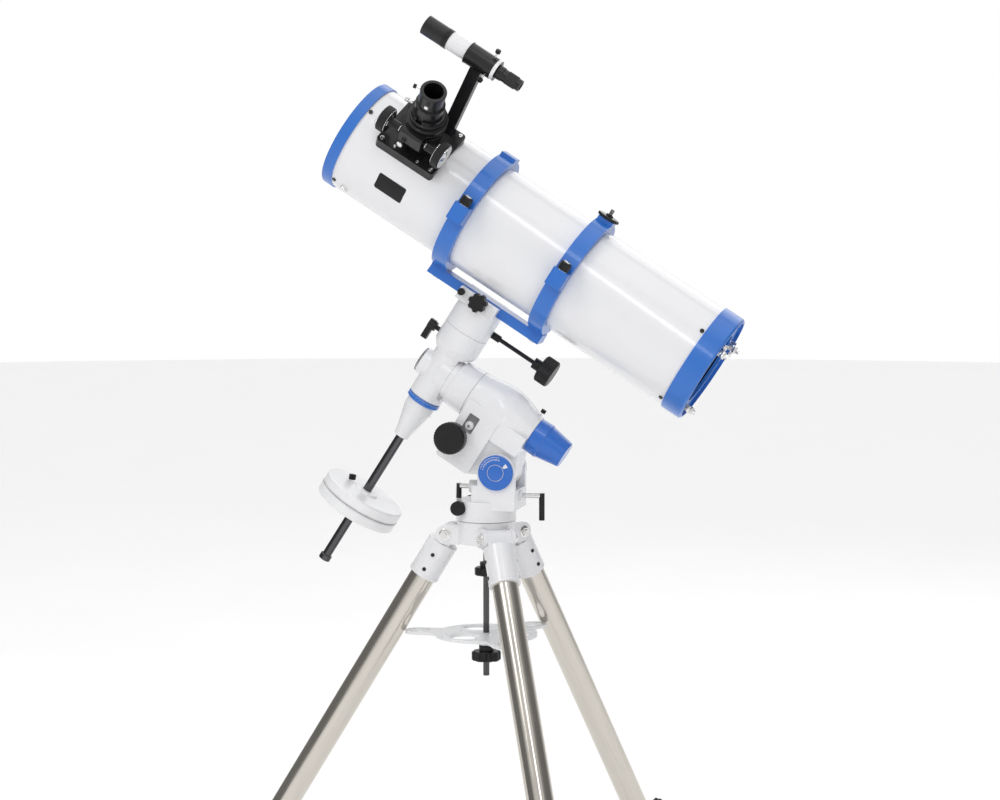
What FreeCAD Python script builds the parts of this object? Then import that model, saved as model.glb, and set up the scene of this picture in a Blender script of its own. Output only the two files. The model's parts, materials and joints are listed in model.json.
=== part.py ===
"""Newtonian reflector telescope on a German equatorial mount and a steel tripod.

Lengths are in millimetres and angles in degrees. The origin is the point on the
floor under the tripod's centre, +Z is up, and the tube's open end faces -X.

Three frames carry the pieces:
  ground  the row's own frame
  head    origin where the polar and declination axes cross, X down the polar axis
          to the south, Z along the declination axis to the tube
  tube    origin at the open end on the optical axis, Z down the tube, X away from
          the mount, Y to the near side
"""
import FreeCAD, Part
import math
import os
import Sketcher

SIZES = {
    # tripod
    "head_height": 707.0, "head_radius": 48.0, "head_depth": 38.0, "head_wall": 7.0, "head_boss_radius": 12.0,
    "hinge_radius": 63.0, "hinge_drop": 24.0, "leg_splay": 31.4,
    "ear_gap": 41.0, "ear_thickness": 6.0, "ear_radius": 16.0, "ear_root": 8.0,
    "hinge_bolt_radius": 4.0, "hinge_bolt_overhang": 8.0, "hinge_nut_radius": 7.4, "hinge_nut_depth": 5.2,
    "tongue_radius": 14.2, "sleeve_radius": 25.5, "sleeve_top": 17.0, "sleeve_end": 82.0, "socket_top": 34.0,
    "leg_radius": 21.5, "leg_bore": 19.1, "leg_tube_end": 620.0,
    "lower_leg_radius": 19.0, "lower_leg_bore": 17.0, "lower_leg_top": 120.0,
    "foot_radius": 23.0, "foot_length": 46.0, "foot_taper": 6.0,
    "rod_radius": 5.0, "rod_end": 258.0, "rod_top": 26.0,
    "rod_knob_level": 92.0, "rod_knob_depth": 22.0, "rod_knob_radius": 19.0, "rod_knob_hub": 10.45,
    "tray_level": 187.0, "tray_depth": 5.0, "tray_disc_radius": 84.0, "tray_arm_reach": 114.0,
    "tray_arm_radius": 23.0, "tray_hub_radius": 21.85, "tray_hub_tip": 12.0, "tray_hub_depth": 20.0,
    "eyepiece_hole": 16.1, "eyepiece_hole_at": 112.0, "two_inch_hole": 25.6, "two_inch_hole_at": 50.4,
    "tray_knob_radius": 24.0, "tray_knob_level": 233.0, "tray_knob_depth": 26.0, "tray_knob_hub": 12.0,
    # azimuth base and altitude pivot
    "base_radius": 49.0, "base_depth": 33.0, "pivot_forward": 27.0, "pivot_height": 82.0,
    "yoke_radius": 31.0, "yoke_foot": 19.8, "cheek_inside": 33.0, "cheek_outside": 45.0, "pivot_radius": 8.0,
    "front_wall": 10.0, "rear_wall": 14.0, "peg_radius": 37.0, "peg_width": 8.0,
    "azimuth_screw_level": 22.0, "azimuth_boss_radius": 12.0, "azimuth_boss_inside": 13.0,
    "azimuth_boss_outside": 34.0, "azimuth_knob_at": 35.0, "azimuth_screw_gap": 3.8,
    "azimuth_knob_radius": 11.5, "azimuth_knob_depth": 14.0,
    "front_bolt_level": 54.0, "rear_bolt_level": 41.0, "bolt_radius": 4.0, "front_bolt_length": 46.0,
    "rear_bolt_tip": 40.0, "rear_bolt_length": 53.0, "front_handle_drop": 20.0, "rear_handle_drop": 40.0,
    "handle_radius": 4.6, "scale_radius": 28.5, "scale_depth": 5.0,
    # polar axis
    "latitude": 32.6, "pivot_back": 172.0, "pivot_below": 78.0, "running_gap": 0.05,
    "axle_radius": 20.0, "axle_bore": 13.0, "axle_flange_radius": 27.0, "axle_flange_front": 14.5,
    "axle_nut_radius": 26.0, "axle_nut_depth": 12.0, "axle_tail": 16.0,
    "ra_wheel_radius": 38.0, "ra_wheel_depth": 14.0, "ra_worm_back": 83.0, "ra_worm_below": 46.8,
    "ra_worm_radius": 8.7, "ra_worm_near": 30.0, "ra_worm_far": 18.0,
    "ra_gear_radius": 10.0, "ra_gear_near": 22.0, "ra_gear_far": 34.0, "ra_shaft_reach": 38.0,
    "ra_knob_below": 67.0, "ra_knob_radius": 25.5, "ra_knob_depth": 20.0, "ra_knob_at": 62.0,
    "ra_hub_radius": 12.75, "ra_hub_start": 52.0,
    "block_front": 71.0, "block_back": 133.0, "block_below": 108.0, "block_near": 46.0, "block_far": 40.0,
    "window_front": 85.0, "window_back": 103.0, "window_low": 49.0, "window_high": 20.0, "window_floor": 43.0,
    "barrel_start": 20.0, "barrel_front_radius": 34.0, "barrel_step": 9.0, "barrel_lip": 38.5,
    "barrel_radius": 41.0, "bulge_radius": 47.0, "bulge_start": 68.0, "bulge_at": 118.0,
    "barrel_end": 184.0, "barrel_end_radius": 30.0, "spigot_radius": 26.0, "spigot_end": 200.0,
    "skirt_half": 44.0, "skirt_low": 42.0, "polar_port_radius": 16.0,
    "cap_start": 184.5, "cap_length": 61.5, "cap_bore": 26.05, "cap_radius": 30.3, "cap_end_radius": 21.0,
    # declination axis
    "dec_body_radius": 28.5, "dec_drum_radius": 38.5, "dec_body_bottom": 50.0, "dec_body_top": 32.0,
    "dec_drum_bottom": 48.0, "dec_split": 80.0, "dec_split_gap": 0.5,
    "dec_axle_radius": 14.0, "dec_axle_low": 74.0, "dec_axle_top": 112.0,
    "port_radius": 23.0, "port_reach": 35.0, "port_depth": 32.0, "light_path_radius": 12.0,
    "collar_radius": 33.0, "collar_back": 19.5,
    "saddle_top": 131.0, "jaw_bottom": 123.0, "jaw_top": 143.5, "jaw_half": 38.0,
    "bar_bottom": 129.5, "bar_top": 145.5, "bar_half_base": 22.0, "bar_half_top": 18.0,
    "bar_front": 104.0, "bar_back": 113.0,
    "dec_hub_radius": 18.0, "dec_wheel_radius": 22.0, "dec_wheel_low": 86.0, "dec_wheel_high": 100.0,
    "dec_worm_aside": 30.0, "dec_worm_level": 93.0, "dec_worm_radius": 7.9, "dec_worm_half": 20.0,
    "dec_rod_radius": 3.5, "dec_rod_start": 27.0, "dec_rod_end": 131.0, "coupling_radius": 6.0,
    "coupling_start": 32.0, "coupling_end": 50.0, "dec_knob_radius": 22.5, "dec_knob_depth": 24.0,
    "dec_knob_hub": 9.5, "dec_knob_neck": 14.0,
    "lever_level": 57.0, "lever_reach": 46.0, "lever_tip": 18.3, "lever_hub_radius": 8.0,
    "lever_hub_depth": 14.0,
    "lever_half": 6.0, "lever_below": 26.0, "lever_above": 9.0,
    "star_level": 137.0, "star_radius": 15.5, "star_depth": 15.0, "star_at": 41.0, "star_screw": 20.0,
    "circle_depth": 9.7, "circle_band": 7.0, "circle_low_radius": 25.0,
    "taper_bottom": 126.0, "taper_end_radius": 12.7, "taper_radius": 24.5,
    "shaft_radius": 7.5, "shaft_end": 364.0, "toe_radius": 10.0, "toe_depth": 10.0,
    "weight_radius": 70.0, "weight_depth": 18.4, "weight_top": 238.0, "weight_gap": 0.2, "weight_edge": 2.5,
    # tube rings
    "tube_offset": 250.0, "tube_front": 331.0, "ring_bore": 91.05, "ring_radius": 104.0, "ring_width": 27.5,
    "front_ring_at": 240.5, "rear_ring_at": 429.0, "lug_reach": 124.0, "lug_width": 16.0, "lug_depth": 14.0,
    "ring_wall": 6.0, "ring_foot_half": 20.0, "clamp_at": 114.0, "clamp_radius": 3.0, "clamp_slack": 1.4,
    "clamp_screw": 27.0, "clamp_knob_radius": 9.0, "clamp_knob_depth": 14.0, "hinge_at": 112.0,
    "pin_radius": 3.0, "knuckle_radius": 6.5, "knuckle_half": 4.6, "knuckle_gap": 0.5,
    "ring_boss": 109.0, "ring_boss_half": 14.0, "camera_disc_radius": 18.5, "camera_disc_depth": 5.0,
    "stud_radius": 3.175, "stud_length": 12.0, "stud_root": 10.0,
    # optical tube
    "tube_radius": 91.0, "tube_wall": 1.0, "tube_length": 702.0, "tube_start": 12.0, "end_ring_radius": 93.5,
    "front_ring_depth": 19.0, "front_ring_bore": 86.0, "end_ring_edge": 1.5,
    "rear_ring_start": 666.0, "rear_ring_radius": 94.0, "rear_ring_bore": 88.0, "rear_ring_edge": 3.0,
    "flange_start": 692.0, "flange_depth": 5.0, "flange_bore": 62.0,
    "mirror_radius": 75.0, "mirror_depth": 22.0, "mirror_back": 668.0, "mirror_curve": 1500.0,
    "cell_radius": 86.0, "cell_back": 684.0, "cell_depth": 8.0, "cell_seat_bore": 60.0,
    "cell_seat_radius": 72.0,
    "cell_wall": 4.0, "cell_grip": 13.0, "collimation_radius": 74.0, "collimation_turn": 60.0,
    "collimation_end": 717.0, "lock_aside": 10.0, "lock_end": 707.0,
    "spider_at": 44.0, "spider_turn": 60.0, "vane_width": 24.0, "vane_thickness": 1.0, "vane_root": 10.0,
    "hub_radius": 16.0, "hub_edge": 2.0, "hub_front": 14.0, "hub_depth": 32.0, "secondary_radius": 23.5,
    "secondary_depth": 6.0, "holder_end": 38.0, "stalk_radius": 8.0,
    "screw_turn": 55.0, "screw_radius": 3.5, "screw_height": 1.8, "screw_inset": 5.0,
    "vane_nut_radius": 6.5, "vane_nut_height": 4.0,
    # focuser
    "focuser_at": 115.0, "focuser_roll": 48.0, "drawtube_hole": 30.0, "plate_length": 110.0,
    "plate_width": 100.0, "plate_low": 60.0, "plate_top": 94.0, "plate_corner": 6.0,
    "housing_radius": 31.0, "housing_step": 130.0, "housing_waist": 28.0, "flange_radius": 33.0,
    "flange_low": 138.0, "flange_high": 152.0, "neck_radius": 29.0, "neck_high": 160.0, "rim_radius": 27.5,
    "focuser_top": 168.0, "carrier_half": 20.0, "carrier_near": 44.0, "carrier_far": 16.0,
    "carrier_rise": 14.0,
    "drawtube_radius": 24.0, "drawtube_bore": 21.5, "drawtube_start": 62.0, "adapter_start": 186.0,
    "adapter_radius": 20.7, "adapter_bore": 15.9, "adapter_shoulder": 10.0, "adapter_top": 218.0,
    "gear_module": 1.0, "pinion_teeth": 15.0, "pressure_angle": 20.0, "tooth_root": 1.2,
    "rack_width": 10.0, "rack_room": 27.5, "rack_clearance": 0.5, "pinion_width": 12.0, "pinion_room": 9.2,
    "pinion_room_half": 7.0, "pinion_aside": 33.0, "pinion_level": 130.0, "pinion_shaft_radius": 3.0,
    "wheel_radius": 21.5, "wheel_depth": 14.0, "wheel_at": 46.0, "wheel_hub_radius": 8.0,
    "wheel_hub_at": 26.0,
    # finder
    "finder_roll": 25.0, "finder_offset": 243.0, "finder_front": 34.0, "finder_back": 172.0,
    "finder_radius": 15.3, "finder_bore": 13.8, "finder_flange": 17.5, "shade_radius": 16.2,
    "shade_back": 81.0,
    "holder_front": 116.0, "holder_back": 165.5, "holder_radius": 17.8, "holder_bore": 16.3,
    "arm_front": 130.0, "arm_back": 150.0, "arm_width": 14.0, "arm_foot": 84.0,
    "eyepiece_radius": 10.5, "eyepiece_back": 216.0, "eyepiece_collar": 11.5, "eye_hole_radius": 7.0,
}
PAST = 1.0  # how far a cutting solid runs past the face it opens
FAR = 200.0  # reach of a cutting solid that only has to clear everything

doc = FreeCAD.newDocument("Telescope")
sheet = doc.addObject("Spreadsheet::Sheet", "Dimensions")
for row, (alias, amount) in enumerate(SIZES.items(), start=1):
    sheet.set(f"A{row}", alias)
    sheet.set(f"B{row}", str(amount))
    sheet.setAlias(f"B{row}", alias)
doc.recompute()


class Size:
    """A length or angle that keeps the formula it comes from, so features follow the sheet."""

    def __init__(self, amount, formula):
        self.amount = amount
        self.formula = formula

    def __float__(self):
        return float(self.amount)

    def __add__(self, other):
        return Size(self.amount + number(other), f"({self.formula} + {formula(other)})")

    def __sub__(self, other):
        return Size(self.amount - number(other), f"({self.formula} - {formula(other)})")

    def __mul__(self, other):
        return Size(self.amount * number(other), f"({self.formula} * {formula(other)})")

    def __truediv__(self, other):
        return Size(self.amount / number(other), f"({self.formula} / {formula(other)})")

    def __neg__(self):
        return Size(-self.amount, f"(0 - {self.formula})")

    __radd__ = __add__
    __rmul__ = __mul__

    def __rsub__(self, other):
        return -self + other


def number(value):
    return float(value)


def formula(value):
    return value.formula if isinstance(value, Size) else repr(float(value))


class Sheet:
    """Gives each named cell of the sheet as a Size."""

    def __getattr__(self, alias):
        return Size(float(sheet.get(alias)), "Dimensions." + alias)


dim = Sheet()
pieces = []


def bind(thing, prop, value):
    """Set a property, and tie it to the sheet when the value comes from there."""
    setattr(thing, prop, number(value))
    if isinstance(value, Size):
        thing.setExpression(prop, value.formula)


def vector(x, y, z):
    return FreeCAD.Vector(number(x), number(y), number(z))


AXES = {"x": FreeCAD.Vector(1, 0, 0), "y": FreeCAD.Vector(0, 1, 0), "z": FreeCAD.Vector(0, 0, 1)}


def turn(axis, angle):
    return FreeCAD.Rotation(AXES[axis], number(angle))


def at(x=0, y=0, z=0, rotation=FreeCAD.Rotation()):
    return FreeCAD.Placement(vector(x, y, z), rotation)


# ---------------------------------------------------------------- frames

HEAD_TOP = at(z=dim.head_height)
PIVOT = HEAD_TOP * at(dim.pivot_forward, 0, dim.pivot_height)
HEAD = PIVOT * at(rotation=turn("y", dim.latitude)) * at(-dim.pivot_back, 0, dim.pivot_below)
Z_TO_X = FreeCAD.Rotation(vector(0, 0, 1), vector(0, -1, 0), vector(1, 0, 0))
POLAR = HEAD * at(rotation=Z_TO_X)
TUBE = HEAD * at(-dim.tube_front, 0, dim.tube_offset, Z_TO_X)
FOCUSER = TUBE * at(z=dim.focuser_at, rotation=turn("z", dim.focuser_roll)) * at(rotation=Z_TO_X)
FINDER = TUBE * at(rotation=turn("z", dim.finder_roll)) * at(x=dim.finder_offset)
LEG_TURNS = (180.0, 300.0, 60.0)


def leg_frame(leg):
    swing = at(rotation=turn("z", LEG_TURNS[leg - 1]))
    return swing * at(dim.hinge_radius, 0, dim.head_height - dim.hinge_drop, turn("y", -dim.leg_splay))


# ---------------------------------------------------------------- building blocks

def rod(radius, axis, centre, span):
    """A round bar along x, y or z; centre holds its other two coordinates in x, y, z order."""
    solid = doc.addObject("Part::Cylinder", "Rod")
    bind(solid, "Radius", radius)
    bind(solid, "Height", span[1] - span[0])
    first, second = centre
    if axis == "x":
        solid.Placement = at(span[0], first, second, turn("y", 90))
    elif axis == "y":
        solid.Placement = at(first, span[0], second, turn("x", -90))
    else:
        solid.Placement = at(first, second, span[0])
    return solid


def block(x_span, y_span, z_span):
    solid = doc.addObject("Part::Box", "Block")
    for prop, (low, high) in zip(("Length", "Width", "Height"), (x_span, y_span, z_span)):
        bind(solid, prop, high - low)
    solid.Placement = at(x_span[0], y_span[0], z_span[0])
    return solid


def fuse(*solids):
    joined = doc.addObject("Part::MultiFuse", "Joined")
    joined.Shapes = list(solids)
    joined.Refine = True
    return joined


def cut(base, *tools):
    result = doc.addObject("Part::Cut", "Trimmed")
    result.Base = base
    result.Tool = tools[0] if len(tools) == 1 else fuse(*tools)
    return result


def common(*solids):
    result = doc.addObject("Part::MultiCommon", "Shared")
    result.Shapes = list(solids)
    return result


def group(*solids):
    result = doc.addObject("Part::Compound", "Group")
    result.Links = list(solids)
    return result


def placed(solid, placement):
    """Move a solid from where it is now."""
    solid.Placement = placement.multiply(solid.Placement)
    return solid


def rounded(base, radius, pick):
    """Round the edges that pick accepts."""
    doc.recompute()
    result = doc.addObject("Part::Fillet", "Rounded")
    result.Base = base
    chosen = [place for place, edge in enumerate(base.Shape.Edges, start=1) if pick(edge)]
    result.Edges = [(place, number(radius), number(radius)) for place in chosen]
    return result


def every_edge(edge):
    return True


def along(axis):
    """Accept straight edges along x, y or z."""
    def pick(edge):
        return edge.Curve.TypeId == "Part::GeomLine" and abs(edge.Curve.Direction.dot(AXES[axis])) > 0.999
    return pick


def sketch_outline(body, plane, points):
    """A closed outline on one of the body's own planes, each corner tied to the sheet."""
    sketch = body.newObject("Sketcher::SketchObject", "Outline")
    origin_plane = [item for item in body.Origin.OriginFeatures if item.Role == plane][0]
    sketch.AttachmentSupport = [(origin_plane, "")]
    sketch.MapMode = "FlatFace"
    spots = [vector(first, second, 0) for first, second in points]
    for start, end in zip(spots, spots[1:] + spots[:1]):
        sketch.addGeometry(Part.LineSegment(start, end), False)
    count = len(points)
    sketch.addConstraint([Sketcher.Constraint("Coincident", i, 2, (i + 1) % count, 1) for i in range(count)])
    for i, corner in enumerate(points):
        for kind, value in zip(("DistanceX", "DistanceY"), corner):
            if number(value) == 0.0:
                axis = -2 if kind == "DistanceX" else -1
                sketch.addConstraint(Sketcher.Constraint("PointOnObject", i, 1, axis))
            else:
                index = sketch.addConstraint(Sketcher.Constraint(kind, -1, 1, i, 1, number(value)))
                if isinstance(value, Size):
                    sketch.setExpression(f"Constraints[{index}]", value.formula)
    return sketch


def turned(points):
    """A body turned about Z from (radius, height) corners."""
    body = doc.addObject("PartDesign::Body", "Turned")
    sketch = sketch_outline(body, "XZ_Plane", points)
    spin = body.newObject("PartDesign::Revolution", "Spin")
    spin.Profile = sketch
    spin.ReferenceAxis = (sketch, ["V_Axis"])
    spin.Angle = 360.0
    body.Tip = spin
    return body


def extruded(plane, points, length):
    """A body padded equally to both sides of one of its planes."""
    body = doc.addObject("PartDesign::Body", "Extruded")
    pad = body.newObject("PartDesign::Pad", "Pad")
    pad.Profile = sketch_outline(body, plane, points)
    pad.SideType = "Symmetric"
    bind(pad, "Length", length)
    body.Tip = pad
    return body


KNOB_EDGE = 0.08  # share of a knob's radius that its chamfers take
LOBE_CENTRE = 1.12  # the hollows between lobes, as shares of the knob's radius
LOBE_HOLLOW = 0.3


def knob_outline(radius, depth):
    edge = radius * KNOB_EDGE
    return [(0, 0), (radius - edge, 0), (radius, edge), (radius, depth - edge), (radius - edge, depth),
            (0, depth)]


def round_knob(radius, depth):
    """A knob on Z from 0 to depth with chamfered rims."""
    return turned(knob_outline(radius, depth))


def star_knob(radius, depth, lobes):
    """A knob on Z from 0 to depth with rounded hollows between its lobes."""
    body = round_knob(radius, depth)
    hollow = body.newObject("Sketcher::SketchObject", "Hollow")
    floor = [item for item in body.Origin.OriginFeatures if item.Role == "XY_Plane"][0]
    hollow.AttachmentSupport = [(floor, "")]
    hollow.MapMode = "FlatFace"
    centre, width = radius * LOBE_CENTRE, radius * LOBE_HOLLOW
    hollow.addGeometry(Part.Circle(vector(centre, 0, 0), vector(0, 0, 1), number(width)), False)
    hollow.addConstraint(Sketcher.Constraint("PointOnObject", 0, 3, -1))
    for kind, value in ((("DistanceX", -1, 1, 0, 3), centre), (("Radius", 0), width)):
        index = hollow.addConstraint(Sketcher.Constraint(*kind, number(value)))
        hollow.setExpression(f"Constraints[{index}]", value.formula)
    scoop = body.newObject("PartDesign::Pocket", "Scoop")
    scoop.Profile = hollow
    scoop.Type = "ThroughAll"
    scoop.Reversed = True
    ring = body.newObject("PartDesign::PolarPattern", "Lobes")
    ring.Originals = [scoop]
    ring.Axis = (hollow, ["N_Axis"])
    ring.Angle = 360.0
    ring.Occurrences = lobes
    body.Tip = ring
    return body


def publish(solid, label, placement=FreeCAD.Placement()):
    solid.Label = label
    solid.Placement = placement
    pieces.append(solid)
    return solid


# ---------------------------------------------------------------- tripod

def hinge_spot():
    """X and Z of a leg's hinge before it is turned to its place round the head."""
    return dim.hinge_radius, dim.head_height - dim.hinge_drop


def hinge_ear(side):
    x, level = hinge_spot()
    inner = dim.ear_gap / 2
    outer = inner + dim.ear_thickness
    span = (inner, outer) if side > 0 else (-outer, -inner)
    web = block((dim.head_radius - dim.ear_root, x), span, (level - dim.ear_radius, level + dim.ear_radius))
    return fuse(web, rod(dim.ear_radius, "y", (x, level), span))


def tripod_head():
    top, bottom = dim.head_height, dim.head_height - dim.head_depth
    disc = rod(dim.head_radius, "z", (0, 0), (bottom, top))
    hollow = rod(dim.head_radius - dim.head_wall, "z", (0, 0), (bottom - PAST, top - dim.head_wall * 2))
    boss = rod(dim.head_boss_radius, "z", (0, 0), (bottom, top - dim.head_wall))
    half = dim.peg_width / 2
    peg = block((-dim.peg_radius - half, -dim.peg_radius + half), (-half, half),
                (top - dim.head_wall, top + dim.azimuth_screw_level + half))
    ears = []
    holes = []
    for angle in LEG_TURNS:
        around = turn("z", angle)
        ears += [placed(hinge_ear(side), at(rotation=around)) for side in (-1, 1)]
        hole = rod(dim.hinge_bolt_radius, "y", hinge_spot(), (-dim.ear_gap, dim.ear_gap))
        holes.append(placed(hole, at(rotation=around)))
    centre_hole = rod(dim.rod_radius, "z", (0, 0), (bottom - PAST, top + PAST))
    publish(cut(fuse(cut(disc, hollow), boss, peg, *ears), centre_hole, *holes), "tripod_head")


def hex_nut(x, y, level, side):
    nut = doc.addObject("Part::Prism", "Nut")
    nut.Polygon = 6
    bind(nut, "Circumradius", dim.hinge_nut_radius)
    bind(nut, "Height", dim.hinge_nut_depth)
    nut.Placement = at(x, y * side, level, turn("x", -90 * side))
    return nut


def leg_hinge_bolts():
    x, level = hinge_spot()
    outside = dim.ear_gap / 2 + dim.ear_thickness
    end = outside + dim.hinge_bolt_overhang
    bolts = []
    for angle in LEG_TURNS:
        shank = rod(dim.hinge_bolt_radius, "y", (x, level), (-end, end))
        nuts = [hex_nut(x, outside, level, side) for side in (-1, 1)]
        bolts.append(placed(fuse(shank, *nuts), at(rotation=turn("z", angle))))
    publish(group(*bolts), "leg_hinge_bolts")


def leg_bracket(leg):
    face_gap, nose_gap, bolt_gap = 0.1, 1.0, 0.08
    half = dim.ear_gap / 2 - face_gap
    outside = half + dim.ear_thickness * 2
    sleeve = rod(dim.sleeve_radius, "z", (0, 0), (-dim.sleeve_end, -dim.sleeve_top))
    neck = block((-dim.tongue_radius, dim.tongue_radius), (-half, half), (-dim.socket_top, 0))
    nose = rod(dim.tongue_radius, "y", (0, 0), (-half, half))
    ear_rooms = [rod(dim.ear_radius + nose_gap, "y", (0, 0), span) for span in ((half, outside),
                                                                                (-outside, -half))]
    bolt_hole = rod(dim.hinge_bolt_radius + bolt_gap, "y", (0, 0), (-half - PAST, half + PAST))
    socket = rod(dim.leg_radius, "z", (0, 0), (-dim.sleeve_end - PAST, -dim.socket_top))
    publish(cut(fuse(cut(sleeve, *ear_rooms), neck, nose), bolt_hole, socket), f"leg_bracket_{leg}",
            leg_frame(leg))


def leg_tube(leg):
    outline = [(dim.leg_bore, -dim.leg_tube_end), (dim.leg_radius, -dim.leg_tube_end),
               (dim.leg_radius, -dim.socket_top), (dim.leg_bore, -dim.socket_top)]
    publish(turned(outline), f"leg_tube_{leg}", leg_frame(leg))


def lower_leg(leg):
    """The inner tube with its boot, cut level where it meets the floor."""
    rise = dim.head_height - dim.hinge_drop
    length = Size(number(rise) / math.cos(math.radians(number(dim.leg_splay))),
                  f"({rise.formula} / cos(Dimensions.leg_splay * 1 deg))")
    boot_top = -length + dim.foot_length
    outline = [(0, -length - dim.foot_radius), (dim.foot_radius, -length - dim.foot_radius),
               (dim.foot_radius, boot_top), (dim.lower_leg_radius, boot_top + dim.foot_taper),
               (dim.lower_leg_radius, -dim.lower_leg_top), (dim.lower_leg_bore, -dim.lower_leg_top),
               (dim.lower_leg_bore, boot_top), (0, boot_top)]
    ground = placed(block((-FAR, FAR), (-FAR, FAR), (-FAR, 0)),
                    at(z=-length, rotation=turn("y", dim.leg_splay)))
    publish(cut(turned(outline), ground), f"lower_leg_{leg}", leg_frame(leg))


def centre_rod():
    span = (dim.head_height - dim.rod_end, dim.head_height + dim.rod_top)
    publish(rod(dim.rod_radius, "z", (0, 0), span), "centre_rod", at(z=span[0]))


def rod_wheel(label, knob, hub_radius, hub_depth, level):
    """A lobed knob with a taller hub that runs on the centre rod."""
    hub = rod(hub_radius, "z", (0, 0), (0, hub_depth))
    bore = rod(dim.rod_radius + dim.running_gap, "z", (0, 0), (-PAST, hub_depth + PAST))
    publish(cut(fuse(knob, hub), bore), label, at(z=dim.head_height - level))


RIM_SHARE = 0.6  # depth of a lobed rim against its hub
TRAY_CLEARANCE = 0.2


def rod_knob():
    knob = star_knob(dim.rod_knob_radius, dim.rod_knob_depth * RIM_SHARE, 6)
    rod_wheel("rod_knob", knob, dim.rod_knob_hub, dim.rod_knob_depth, dim.rod_knob_level)


def tray_knob():
    knob = star_knob(dim.tray_knob_radius, dim.tray_knob_depth * RIM_SHARE, 8)
    rod_wheel("tray_knob", knob, dim.tray_knob_hub, dim.tray_knob_depth - TRAY_CLEARANCE, dim.tray_knob_level)


def accessory_tray():
    """A disc with an arm to each leg, holes for small and large eyepieces and a hub below."""
    depth, reach, half = dim.tray_depth, dim.tray_arm_reach, dim.tray_arm_radius
    disc = rod(dim.tray_disc_radius, "z", (0, 0), (-depth, 0))
    arms = []
    holes = [rod(dim.rod_radius + dim.running_gap, "z", (0, 0), (-dim.tray_hub_depth - PAST, PAST))]
    for angle in LEG_TURNS:
        arm = fuse(block((0, reach), (-half, half), (-depth, 0)), rod(half, "z", (reach, 0), (-depth, 0)))
        arms.append(placed(arm, at(rotation=turn("z", angle))))
        small = rod(dim.eyepiece_hole, "z", (dim.eyepiece_hole_at, 0), (-depth - PAST, PAST))
        large = rod(dim.two_inch_hole, "z", (dim.two_inch_hole_at, 0), (-depth - PAST, PAST))
        holes.append(placed(small, at(rotation=turn("z", angle))))
        holes.append(placed(large, at(rotation=turn("z", angle + 60))))
    hub = turned([(0, -dim.tray_hub_depth), (dim.tray_hub_tip, -dim.tray_hub_depth),
                  (dim.tray_hub_radius, -depth),
                  (0, -depth)])
    publish(cut(fuse(disc, hub, *arms), *holes), "accessory_tray", at(z=dim.head_height - dim.tray_level))


# ---------------------------------------------------------------- azimuth and altitude

def yoke_walls():
    """Two round-topped cheeks with a wall in front and behind, and a boss for each altitude bolt."""
    pivot = (dim.pivot_forward, dim.pivot_height)
    left, right = dim.pivot_forward - dim.yoke_radius, dim.pivot_forward + dim.yoke_radius
    foot, inset = dim.yoke_foot, 1.0
    outside = dim.cheek_outside
    walls = []
    for low, high in ((dim.cheek_inside, outside), (-outside, -dim.cheek_inside)):
        walls.append(block((left, right - inset), (low, high), (foot, dim.pivot_height)))
        walls.append(rod(dim.yoke_radius, "y", pivot, (low, high)))
    front_rise, rear_rise, boss_front, boss_back = 6.0, 11.0, 27.0, 2.0
    walls.append(block((left - dim.front_wall, left), (-outside, outside),
                       (foot, dim.front_bolt_level + front_rise)))
    walls.append(block((right - dim.rear_wall, right - inset), (-outside, outside),
                       (foot, dim.rear_bolt_level + rear_rise)))
    walls.append(rod(dim.bolt_radius * 2.6, "x", (0, dim.front_bolt_level), (-boss_front, left)))
    walls.append(rod(dim.bolt_radius * 2.2, "x", (0, dim.rear_bolt_level),
                     (right - dim.rear_wall, right + boss_back)))
    return walls


def azimuth_base():
    pivot = (dim.pivot_forward, dim.pivot_height)
    left, right = dim.pivot_forward - dim.yoke_radius, dim.pivot_forward + dim.yoke_radius
    drum = rod(dim.base_radius, "z", (0, 0), (0, dim.base_depth))
    trim_radius, trim_at = dim.base_radius + 17, dim.pivot_forward / 2
    yoke = common(fuse(*yoke_walls()), rod(trim_radius, "z", (trim_at, 0), (-PAST, FAR)))
    at_peg = (-dim.peg_radius, dim.azimuth_screw_level)
    inside, outside, knob_gap = dim.azimuth_boss_inside, dim.azimuth_boss_outside, 0.5
    bosses = [rod(dim.azimuth_boss_radius, "y", at_peg, span) for span in ((inside, outside),
                                                                           (-outside, -inside))]
    boss_reach, room_front, room_back, roof = 4.0, 8.0, 10.0, 4.0
    keep = common(fuse(*bosses), block((-dim.base_radius - boss_reach, 0), (-FAR, FAR), (0, dim.base_depth)))
    peg_room = block((-dim.base_radius - room_front, -dim.peg_radius + room_back), (-inside, inside),
                     (-PAST, dim.base_depth - roof))
    clearance = dim.bolt_radius + dim.running_gap
    bores = [rod(dim.clamp_radius + dim.running_gap, "y", at_peg, (-FAR, FAR)),
             rod(dim.pivot_radius + dim.running_gap, "y", pivot, (-FAR, FAR)),
             rod(dim.rod_radius + dim.running_gap, "z", (0, 0), (-PAST, dim.rod_top + 2)),
             rod(clearance, "x", (0, dim.front_bolt_level), (-FAR, left + PAST)),
             rod(clearance, "x", (0, dim.rear_bolt_level), (right - 20, FAR))]
    rooms = [rod(dim.azimuth_knob_radius + 1, "y", at_peg, span)
             for span in ((outside + knob_gap, FAR), (-FAR, -outside - knob_gap))]
    publish(cut(fuse(drum, yoke, keep), peg_room, *bores, *rooms), "azimuth_base", HEAD_TOP)


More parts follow.
